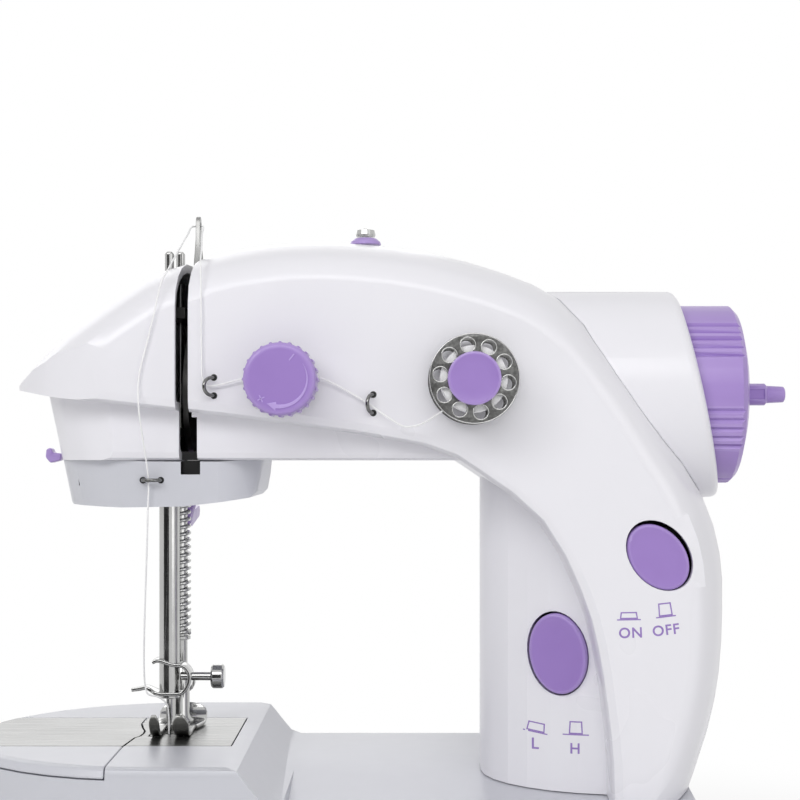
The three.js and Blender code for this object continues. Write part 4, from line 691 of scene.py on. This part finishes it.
# A rounded rectangle about the origin, as (x, y) pairs
def roundedBox(halfWide, halfTall, corner, steps=4):
    points = []
    for quarter, (sx, sy) in enumerate(((1, 1), (-1, 1), (-1, -1), (1, -1))):
        for i in range(steps + 1):
            angle = math.pi / 2 * (quarter + i / steps)
            points.append((
                sx * (halfWide - corner) + corner * math.cos(angle),
                sy * (halfTall - corner) + corner * math.sin(angle),
            ))
    return points


# A flat strip of metal along a route; across is the direction of its width
def strip(work, route, across, widths, thickness, corner=0.2):
    rings = []
    for i, point in enumerate(route):
        ahead = (route[min(i + 1, len(route) - 1)] - route[max(i - 1, 0)]).normalized()
        normal = ahead.cross(across).normalized()
        section = roundedBox(widths[i] / 2, thickness / 2, min(corner, widths[i] * 0.4))
        rings.append([point + across * u + normal * v for u, v in section])
    loft(work, rings)


def circleLoop(x, y, radius, steps):
    return [
        (x + radius * math.cos(2 * math.pi * i / steps), y + radius * math.sin(2 * math.pi * i / steps))
        for i in range(steps)
    ]


# Solid from a flat curve, with its rims rounded
def solidFromCurve(curve, thickness, rim, heavier=0.0):
    curve.fill_mode = "BOTH"
    curve.extrude = thickness / 2 - rim
    curve.bevel_depth = rim
    curve.bevel_resolution = 2
    curve.offset = heavier - rim
    holder = bpy.data.objects.new("flatCurve", curve)
    scene.collection.objects.link(holder)
    seen = bpy.context.evaluated_depsgraph_get()
    mesh = bpy.data.meshes.new_from_object(holder.evaluated_get(seen))
    work = bmesh.new()
    work.from_mesh(mesh)
    bpy.data.objects.remove(holder)
    bpy.data.curves.remove(curve)
    bpy.data.meshes.remove(mesh)
    bmesh.ops.remove_doubles(work, verts=work.verts, dist=0.001)
    return work


# A flat plate from closed loops of (x, y), where inner loops are holes
def plate(loops, thickness, rim=0.0):
    curve = bpy.data.curves.new("plate", "CURVE")
    curve.dimensions = "2D"
    for loop in loops:
        spline = curve.splines.new("POLY")
        spline.points.add(len(loop) - 1)
        for point, (x, y) in zip(spline.points, loop):
            point.co = (x, y, 0, 1)
        spline.use_cyclic_u = True
    return solidFromCurve(curve, thickness, rim)


# Moves flat work so that its x runs across, its y up and its z along a direction
def stand(work, centre, direction):
    across, up, along = directions[direction]
    for vert in work.verts:
        x, y, z = vert.co
        vert.co = centre + across * x + up * y + along * z


# A closed ring of round stock through points of one upright plane
def rimRing(work, points, radius, sides=8):
    rings = []
    middle = sum(points, Vector()) / len(points)
    forward = directions["front"][2]
    angles = [2 * math.pi * k / sides for k in range(sides)]
    for point in points:
        outward = (point - middle).normalized()
        rings.append([
            point + outward * radius * math.cos(angle) + forward * radius * math.sin(angle) for angle in angles
        ])
    loft(work, rings, closed=True)


# Supply bobbin: pierced flanges on a hub, wound with thread, pushed on a spindle with a flat cap
supplyBobbin = {
    "radius": 10.0, "flange": 0.8, "rim": 0.16, "hub": 4.0, "bore": 3.1,
    "holes": 10, "holeRadius": 1.6, "holeCircle": 7.5, "firstHole": -11,  # degrees from the top
    "rimOfHole": 1.06, "rimOfFlange": 0.985,  # shares of the radius that the rim follows
    "wound": 7.4, "threadPitch": 0.42, "stemPlay": 0.7,
}


def makeSupplyBobbin():
    size = supplyBobbin
    low, high = boxOf("supply_bobbin")
    centre = (low + high) / 2
    front, back = -low.y, -high.y  # along the direction to the front
    loops = [circleLoop(0, 0, size["radius"], 96), circleLoop(0, 0, size["bore"], 48)]
    for hole in range(size["holes"]):
        angle = math.radians(size["firstHole"] + 360 / size["holes"] * hole)
        x, y = size["holeCircle"] * math.sin(angle), size["holeCircle"] * math.cos(angle)
        loops.append(circleLoop(x, y, size["holeRadius"], 32))
    for name, place in (("front", front - size["flange"] / 2), ("rear", back + size["flange"] / 2)):
        work = plate(loops, size["flange"], size["rim"])
        stand(work, Vector((centre.x, -place, centre.z)), "front")
        mesh = meshFrom(work, "flange")
        piece = addPiece(f"supply_bobbin_{name}_flange", mesh, "speckledSteel", "supply_bobbin")
        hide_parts("supply_bobbin")
    work = bmesh.new()  # polished rings round the edge and the holes: the rounded edges are real, their brighter colour than the flange is painted highlight
    flangeEdge, holeEdges = loops[0], loops[2:]
    for loop, share in [(flangeEdge, size["rimOfFlange"])] + [(edge, size["rimOfHole"]) for edge in holeEdges]:
        middle = sum((Vector(point) for point in loop), Vector((0, 0))) / len(loop)
        ring = [centre.xz + middle + (Vector(point) - middle) * share for point in loop]
        rimRing(work, [Vector((x, -front + size["rim"] * 0.7, z)) for x, z in ring], size["rim"])
    mesh = meshFrom(work, "rims", 180)
    piece = addPiece("supply_bobbin_highlight_rims", mesh, "polishedSteel", "supply_bobbin")
    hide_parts("supply_bobbin")
    work = bmesh.new()
    axis = Vector((centre.x, 0, centre.z))
    inner, outer = back + size["flange"], front - size["flange"]
    hub = [(size["bore"], inner), (size["hub"], inner), (size["hub"], outer), (size["bore"], outer)]
    turn(work, axis, "front", hub, closed=True)
    piece = addPiece("supply_bobbin_hub", meshFrom(work, "hub"), "darkSteel", "supply_bobbin")
    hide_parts("supply_bobbin")
    turns = int((outer - inner - 0.2) / size["threadPitch"])
    profile = [(size["hub"] + 0.05, inner + 0.1)]
    for row in range(turns + 1):
        place = inner + 0.1 + row * size["threadPitch"]
        profile += [(size["wound"] - 0.13, place), (size["wound"], place + size["threadPitch"] * 0.5)]
    profile = [(radius, min(place, outer - 0.1)) for radius, place in profile]
    profile.append((size["hub"] + 0.05, outer - 0.1))
    work = bmesh.new()
    turn(work, axis, "front", profile, closed=True)
    mesh = meshFrom(work, "wound", 80)
    piece = addPiece("supply_bobbin_thread", mesh, "whiteCotton", "supply_bobbin")
    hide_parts("supply_bobbin")


def makeSpindle():
    low, high = boxOf("bobbin_spindle")
    centre = (low + high) / 2
    radius = (high.x - low.x) / 2
    front, back = -low.y, -high.y
    skin = -boxOf("front_shell")[0].y
    stem = supplyBobbin["bore"] - supplyBobbin["stemPlay"]
    profile = [
        (0.3, back), (stem, back), (stem, skin + 0.3),
        (supplyBobbin["hub"], skin + 0.4), (supplyBobbin["hub"], skin + 1.6),
        (stem, skin + 1.7), (stem, front - 1.3), (radius - 0.12, front - 1.3),
        (radius, front - 1.15), (radius, front - 0.4), (radius - 0.12, front - 0.12),
        (radius - 0.4, front - 0.02), (radius - 0.62, front), (radius - 0.75, front - 0.05),
        (radius * 0.5, front - 0.03), (0.3, front),
    ]
    work = bmesh.new()
    turn(work, Vector((centre.x, 0, centre.z)), "front", profile, 72)
    mesh = meshFrom(work, "spindle")
    piece = addPiece("bobbin_spindle_fine", mesh, "violetPlastic", "machine_body")
    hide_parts("bobbin_spindle")


makeSupplyBobbin()
makeSpindle()
print("supply bobbin ready")


# Tension knob: toothed skirt, smooth face with a minus, a plus and a swept arrow
knobShape = {
    "teeth": 24, "tooth": 0.42, "toothStand": 0.2, "faceInset": 0.35,
    "arrowRadius": 6.1, "arrowFrom": 34, "arrowTo": -97, "arrowTip": 20,  # degrees from the right
    "markHeight": 0.16,
}


def makeKnob():
    size = knobShape
    low, high = boxOf("tension_knob")
    centre = (low + high) / 2
    radius = (high.x - low.x) / 2 + size["toothStand"]
    front, back = -low.y, -high.y

    def ribs(angle, r, place):
        if r < radius - size["faceInset"] - 0.01:
            return r
        wave = math.cos(size["teeth"] * angle)
        ridge = max(0.0, wave) ** 0.6
        return r - size["tooth"] * (1 - ridge)

    face = radius - size["faceInset"]
    profile = [
        (3.0, back), (radius - 0.9, back), (radius - 0.2, back + 0.15), (radius, back + 0.5),
        (radius, front - 2.3), (radius - 0.12, front - 1.9), (face - 0.02, front - 1.75),
        (face - 0.03, front - 0.95), (face - 0.14, front - 0.5), (face - 0.45, front - 0.17),
        (face - 0.95, front - 0.02), (face - 1.6, front),
    ]
    work = bmesh.new()
    axis = Vector((centre.x, 0, centre.z))
    turn(work, axis, "front", profile, size["teeth"] * 12, ribs=ribs)
    mesh = meshFrom(work, "knob", 50)
    piece = addPiece("tension_knob_fine", mesh, "violetPlastic", "tension_knob")
    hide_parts("tension_knob")

    def bar(x, y, length, width, degrees):
        c, s = math.cos(math.radians(degrees)), math.sin(math.radians(degrees))
        corners = ((-length, -width), (length, -width), (length, width), (-length, width))
        return [(x + c * u / 2 - s * v / 2, y + s * u / 2 + c * v / 2) for u, v in corners]

    def onFace(r, degrees):
        angle = math.radians(degrees)
        return (r * math.cos(angle), r * math.sin(angle))

    sweep, fromAngle, toAngle = size["arrowRadius"], size["arrowFrom"], size["arrowTo"]
    outer, inner = [], []
    steps = 30
    for i in range(steps + 1):
        share = i / steps
        degrees = fromAngle + (toAngle - fromAngle) * share
        half = 0.06 + 0.4 * share  # the arrow's tail swells towards its head
        outer.append(onFace(sweep + half, degrees))
        inner.append(onFace(sweep - half, degrees))
    tip = onFace(sweep, toAngle - size["arrowTip"])
    head = [onFace(sweep + 1.0, toAngle), tip, onFace(sweep - 1.0, toAngle)]
    marks = {
        "minus": [bar(2.7, 4.7, 1.8, 0.34, 52)],
        "plus_long": [bar(-4.0, -4.4, 1.7, 0.3, 25)],
        "plus_short": [bar(-4.0, -4.4, 1.7, 0.3, 115)],
        "arrow": [outer + head + inner[::-1]],
    }
    for name, loops in marks.items():
        work = plate(loops, size["markHeight"] * 2, 0.04)
        stand(work, Vector((centre.x, -front, centre.z)), "front")
        addPiece(f"knob_{name}", meshFrom(work, name), "violetRaised", "tension_knob")


makeKnob()
print("tension knob ready")


# Push buttons: oval caps with a softly rounded rim, each a hair off the middle of its hole
buttonShape = {
    "rim": 0.6,
    # turn and swing in degrees; sag is how far the cap lies to the right and up in its hole
    "power_button": {
        "centre": (64.2, -31.4, 109.4), "long": 8.35, "short": 6.15,
        "turn": -50, "swing": 0, "sag": (-0.2, -0.4),
    },
    "speed_button": {
        "centre": (41.6, -21.3, 85.7), "long": 9.45, "short": 6.8,
        "turn": -80, "swing": -20, "sag": (0.32, 0),
    },
    "skirtDepth": 8.9, "stemHalf": 1.4, "stemDepth": 11.8,
}


def makeButton(node):
    place = buttonShape[node]
    swing, spin = math.radians(place["swing"]), math.radians(place["turn"])
    out = Vector((math.sin(swing), -math.cos(swing), 0))
    across = Vector((math.cos(swing), math.sin(swing), 0))
    up = Vector((0, 0, 1))
    axis = Vector(place["centre"])
    centre = axis + across * place["sag"][0] + up * place["sag"][1]
    longWay = across * math.cos(spin) + up * math.sin(spin)
    shortWay = up * math.cos(spin) - across * math.sin(spin)

    def oval(grow, depth):
        return [
            centre
            + longWay * (place["long"] + grow) * math.cos(2 * math.pi * i / 96)
            + shortWay * (place["short"] + grow) * math.sin(2 * math.pi * i / 96)
            + out * depth
            for i in range(96)
        ]

    rim = buttonShape["rim"]
    work = bmesh.new()
    skirt = buttonShape["skirtDepth"]
    loft(work, [
        oval(-0.3, -skirt), oval(0, 0.3 - skirt), oval(0, -rim), oval(-0.12 * rim, -0.55 * rim),
        oval(-0.4 * rim, -0.2 * rim), oval(-0.8 * rim, -0.03 * rim), oval(-1.3 * rim, 0),
        oval(-1.7 * rim, -0.06), oval(-3.5, -0.05), oval(-5.5, -0.02),
    ])
    half = buttonShape["stemHalf"]
    square = [across * x + up * z for x, z in ((-half, -half), (half, -half), (half, half), (-half, half))]
    inside = axis - out * buttonShape["stemDepth"]
    outside = axis + out * (0.5 - skirt)
    loft(work, [[inside + corner for corner in square], [outside + corner for corner in square]])
    piece = addPiece(node + "_fine", meshFrom(work, node, 50), "violetPlastic", node)
    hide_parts(node)


makeButton("power_button")
makeButton("speed_button")
print("buttons ready")


# Printed marks on the skin and on the pillar's panel, thin ink that follows the surface
prints = {
    # words: text, middle x and z, letter height, turn in degrees
    "words": {
        "on": ("ON", 57.6, 91.75, 2.4, 2), "off": ("OFF", 65.6, 92.4, 2.4, 7),
        "low": ("L", 37.0, 64.1, 2.7, 0), "high": ("H", 46.1, 63.5, 2.5, 0),
    },
    # icons: middle of the base line, its length, turn, height of the box, box width at its foot and head
    "icons": {
        "pressed": (57.2, 95.0, 5.4, 1, 1.6, 4.1, 3.7), "released": (65.6, 95.7, 4.5, 7, 3.0, 3.2, 2.9),
        "slow": (37.1, 67.1, 5.6, -8.5, 2.2, 4.2, 3.8), "fast": (46.3, 67.0, 6.0, 0, 3.0, 3.2, 2.9),
    },
    "line": 0.3, "ink": 0.05, "heavier": 0.06, "spacing": 1.12,
    "capHeight": 0.73,  # a capital's share of the font's size
}


def layOn(work, tree, x, z, degrees):
    c, s = math.cos(math.radians(degrees)), math.sin(math.radians(degrees))
    for _ in range(2):
        longEdges = [edge for edge in work.edges if edge.calc_length() > 0.5]
        bmesh.ops.subdivide_edges(work, edges=longEdges, cuts=1)
    bmesh.ops.triangulate(work, faces=work.faces)
    for vert in work.verts:
        u, v, lift = vert.co
        px, pz = x + c * u - s * v, z + s * u + c * v
        hit = tree.ray_cast(Vector((px, -100, pz)) * mm, Vector((0, 1, 0)))[0]
        vert.co = (px, hit.y / mm - 0.01 - lift, pz)


def makePrints():
    tree = surfaceOf(["front_shell"])
    line, ink = prints["line"], prints["ink"]
    for name, (text, x, z, height, degrees) in prints["words"].items():
        curve = bpy.data.curves.new(name, "FONT")
        curve.body = text
        curve.size = height / prints["capHeight"]
        curve.align_x = "CENTER"
        curve.align_y = "CENTER"
        curve.space_character = prints["spacing"]
        work = solidFromCurve(curve, ink, 0.0, prints["heavier"])
        layOn(work, tree, x, z, degrees)
        addPiece("print_word_" + name, meshFrom(work, name), "violetInk", "machine_body")
    for name, (x, z, base, degrees, height, foot, head) in prints["icons"].items():
        outer = [(-foot / 2, 0), (foot / 2, 0), (head / 2, height), (-head / 2, height)]
        inner = [
            (line - foot / 2, line), (foot / 2 - line, line),
            (head / 2 - line, height - line), (line - head / 2, height - line),
        ]
        bars = {
            "box": [outer, inner],
            "base": [[(-base / 2, -line), (base / 2, -line), (base / 2, -0.02), (-base / 2, -0.02)]],
        }
        for part, loops in bars.items():
            work = plate(loops, ink, 0.0)
            layOn(work, tree, x, z, degrees)
            mesh = meshFrom(work, name)
            addPiece(f"print_{name}_{part}", mesh, "violetInk", "machine_body")


makePrints()
print("prints ready")


# Wire guides: bent round wire with both ends in the casing
# hole is the radius of the black disc of painted shade at each end
guideShape = {"wire": 0.42, "rooted": 1.2, "hole": 0.77, "sideBow": 1.6, "inset": 0.45}


def makeGuide(node, first, last, bow):
    radius, hole = guideShape["wire"], guideShape["hole"]
    root = Vector((0, guideShape["rooted"], 0))
    first, last, bow = Vector(first), Vector(last), Vector(bow)
    middle = (first + last) / 2
    route = [first + root]
    for i in range(25):
        angle = math.pi * i / 24
        route.append(middle + (first - middle) * math.cos(angle) + (bow - middle) * math.sin(angle) ** 0.8)
    route.append(last + root)
    work = bmesh.new()
    tube(work, route, radius, 16)
    piece = addPiece(node + "_fine", meshFrom(work, node), "wireSteel", "machine_body")
    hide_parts(node)
    for side, end in (("first", first), ("last", last)):  # a black disc in the hole that each end goes into, painted shade for the dark inside it
        work = bmesh.new()
        turn(work, Vector((end.x, 0, end.z)), "front", [(hole, -end.y - 0.1), (hole, -end.y + 0.04)], 24)
        mesh = meshFrom(work, "hole")
        addPiece(f"{node}_hole_{side}", mesh, "blackPlastic", "machine_body")


inset = guideShape["inset"]
for node in ("thread_guide_left", "thread_guide_right"):
    low, high = boxOf(node)
    endX, skin = high.x - 0.4, boxOf("front_shell")[0].y
    bow = (low.x + guideShape["sideBow"], low.y + inset, (low.z + high.z) / 2)
    makeGuide(node, (endX, skin, high.z - inset), (endX, skin, low.z + inset), bow)
low, high = boxOf("thread_guide_lower")
housingFront = boxOf("head_housing")[0].y
level = high.z - 0.4
makeGuide(
    "thread_guide_lower", (low.x + inset, housingFront, level), (high.x - inset, housingFront, level),
    ((low.x + high.x) / 2, low.y + inset, level),
)
print("guides ready")


# Upper thread, in three runs: up to the lever's eye, down to the lower guide, and on to the needle
threadSize = {"radius": 0.2, "ply": 0.08, "lay": 1.5, "step": 0.35}
skinY = boxOf("front_shell")[0].y
eye = Vector((-44.5, 0, boxOf("take_up_lever")[1].z - 2.4))
supplyRoute = [
    (17.3, skinY - 7.6, 144), (13.6, skinY - 6, 141.4), (9.8, skinY - 4.7, 139.2), (6.3, skinY - 3.4, 138.7),
    (1.8, skinY - 2, 141.2), (-2, skinY - 1.1, 143.9), (-12.5, skinY - 1.5, 149.6), (-21.2, skinY - 1.5, 151.8),
    (-31, skinY - 1.3, 149.4), (-38.2, skinY - 1, 148), (-39.4, skinY - 1, 149.2), (-39.8, skinY - 0.6, 155),
    (-39.9, skinY - 0.6, 166), (-40.1, skinY + 0.3, 173), (-40.6, skinY + 4.2, 176.9),
    (-41.1, skinY + 9.5, 179.6), (-42.7, -8, eye.z - 3), (-43.4, -1, eye.z - 0.1), (-44.35, 0, eye.z),
]
leverRoute = [
    (-44.7, 0, eye.z), (-45.8, -1, eye.z - 0.2), (-46.2, -8, eye.z - 3.1), (-47.3, skinY + 9.5, 178.3),
    (-48.1, skinY + 4.5, 175), (-49.2, skinY + 0.5, 171.2), (-50.4, skinY - 0.7, 165),
    (-52, skinY - 0.6, 158.4), (-54, skinY - 0.6, 150), (-54.1, skinY - 0.6, 143.5),
    (-53, -25.3, 126.4), (-53.2, -24.8, 119.6),
]
needleRoute = [
    (-53.2, -24.8, 119.6), (-56.7, -6.6, 76.4), (-56, -6.6, 74.2), (-53.4, -5.7, 73.2), (-51.7, -4.9, 71.4),
    (-51.3, -4.2, 68.4), (-51.3, -3.82, 64.5), (-51.3, -3.78, 62.5),
]
threads = {
    # points, node replaced, the moving body, and where its pull on the thread starts and is full
    "thread_to_lever": (supplyRoute, "thread_supply_run", "take_up", (-40, -33, 152), (-44.4, 0, 186)),
    "thread_from_lever": (leverRoute, "thread_needle_run", "take_up", (-53, -25.3, 128), (-45, 0, 186)),
    "thread_to_needle": (
        needleRoute, "thread_needle_run", "needle_bar", (-53.2, -24.8, 119), (-56.7, -6.6, 78),
    ),
}


def makeThreads():
    for name, (points, node, moving, start, end) in threads.items():
        total = sum((Vector(b) - Vector(a)).length for a, b in zip(points, points[1:]))
        spanLength = total / (len(points) - 1)
        work = bmesh.new()
        route = smoothRoute(points, max(8, int(spanLength / threadSize["step"])))
        tube(work, route, threadSize["radius"], 8, threadSize["ply"], threadSize["lay"])
        piece = addPiece(name, meshFrom(work, name, 180), "whiteCotton", None)
        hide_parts(node)
        start, end = (tuple(value * mm for value in point) for point in (start, end))
        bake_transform(piece)


makeThreads()
print("threads ready")


# Presser foot: a sleeve on the bar, a thin sole with an upturned heel, and two toes beside the needle
footShape = {
    "toes": ((-55.0, -52.5), (-49.3, -45.5)),  # left and right side of each toe
    "toeTip": -12.6, "toeRise": 5.0, "toeCurl": 9,  # steps of its route
    "thickness": 1.0, "sleeve": 2.3,
    "heelWidth": 11.6, "heelMiddle": -50.0, "heelRise": 4.2,
}


def makePresserFoot():
    size = footShape
    low, high = boxOf("presser_foot")
    bar = middleOf("presser_bar")
    level = low.z + size["thickness"] / 2
    right = Vector((1, 0, 0))
    work = bmesh.new()
    for left, end in size["toes"]:
        x, tip, rise = (left + end) / 2, size["toeTip"], size["toeRise"]
        route = smoothRoute([
            (x, bar.y + 1, level), (x, bar.y - 7, level), (x, tip + 4.6, level),
            (x, tip + 2.4, level + rise * 0.2), (x, tip + 0.9, level + rise * 0.6), (x, tip, level + rise),
        ], 8)
        curl = size["toeCurl"]
        curled = len(route) - 1 - curl
        widths = [(end - left) * (1 - 0.5 * max(0, (i - curled) / curl) ** 2) for i in range(len(route))]
        strip(work, route, right, widths, size["thickness"], 0.35)
    # the toes take the near-black finish: painted dark reflection, with painted highlight on their edges
    piece = addPiece("presser_foot_toes", meshFrom(work, "toes", 60), "toePaintedReflection", "presser")
    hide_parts("presser_foot")
    work = bmesh.new()
    x, end, rise = size["heelMiddle"], high.y, size["heelRise"]
    route = smoothRoute([
        (x, bar.y - 7.5, level), (x, bar.y - 2, level), (x, end - 4.2, level),
        (x, end - 1.9, level + rise * 0.25), (x, end - 0.8, level + rise * 0.62), (x, end - 0.4, level + rise),
    ], 8)
    widths = []
    for point in route:
        share = max(0.0, (point.z - level) / rise)
        flare = 0.8 + 0.2 * min(1, (point.y - bar.y + 8) / 6)
        widths.append(size["heelWidth"] * flare * (1 - share**4) ** 0.5 + 0.5)
    strip(work, route, right, widths, size["thickness"], 0.35)
    sleeve, foot = size["sleeve"], level
    turn(work, Vector((bar.x, bar.y, 0)), "up", [
        (sleeve + 1.2, foot), (sleeve + 1.1, foot + 0.7), (sleeve + 0.3, foot + 1.5), (sleeve, foot + 2.6),
        (sleeve, high.z - 0.3), (sleeve - 0.3, high.z),
    ], 40)
    piece = addPiece("presser_foot_sole", meshFrom(work, "sole", 50), "polishedSteel", "presser")
    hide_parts("presser_foot")


makePresserFoot()


# Needle clamp: a strap bent round the bar's end, its lower arm drawn out into a thread finger
clampShape = {"axisUp": 4.8, "thickness": 0.9, "corner": 0.3, "fingerTaper": 0.75}


def makeNeedleClamp():
    low, high = boxOf("needle_clamp")
    bar = middleOf("needle_bar")
    x, y, z = bar.x, (low.y + high.y) / 2, low.z + clampShape["axisUp"]
    route = smoothRoute([
        (x - 3.8, y, z + 3.7), (x - 2.6, y, z + 4.1), (x + 1, y, z + 3.1), (x + 3.6, y, z + 2.7),
        (x + 5, y, z + 1.2), (x + 5.2, y, z - 0.4), (x + 4.7, y, z - 2.2), (x + 3.3, y, z - 3.8),
        (x, y, z - 4.1), (x - 2.8, y, z - 3.9), (x - 5.4, y, z - 2.7),
        (x - 7.2, y, z - 3), (x - 9.2, y, z - 3.3),
    ], 6)
    widths = []
    for point in route:
        share = max(0.0, (x - 3.4 - point.x) / 6) if point.z < z else 0.0
        widths.append((high.y - low.y - 0.2) * (1 - clampShape["fingerTaper"] * min(1, share) ** 0.6))
    work = bmesh.new()
    strip(work, route, Vector((0, 1, 0)), widths, clampShape["thickness"], clampShape["corner"])
    piece = addPiece("needle_clamp_fine", meshFrom(work, "clamp", 60), "polishedSteel", "needle_bar")
    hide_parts("needle_clamp")


makeNeedleClamp()
print("presser foot and needle clamp ready")


# Presser spring: round wire wound round the bar, its lower end on the bar's collar
springShape = {"wire": 0.46, "turns": 19.5, "endTurns": 0.8, "stepsPerTurn": 24}


def makeSpring():
    low, high = boxOf("presser_spring")
    centre = (low + high) / 2
    wire, turns, closed = springShape["wire"], springShape["turns"], springShape["endTurns"]
    radius = (high.x - low.x) / 2 - wire
    bottom, top = low.z + wire, high.z - wire
    route = []
    steps = int(turns * springShape["stepsPerTurn"])
    for i in range(steps + 1):
        turnNow = turns * i / steps
        share = (turnNow - closed * 0.75) / (turns - closed * 1.5)
        share = min(1.0, max(0.0, share))
        height = bottom + (top - bottom) * share
        angle = 2 * math.pi * turnNow
        x, y = centre.x + radius * math.cos(angle), centre.y + radius * math.sin(angle)
        route.append(Vector((x, y, height)))
    work = bmesh.new()
    tube(work, route, wire, 10)
    piece = addPiece("presser_spring_fine", meshFrom(work, "spring", 180), "polishedSteel", None)
    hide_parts("presser_spring")
    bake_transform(piece)


makeSpring()
print("spring ready")
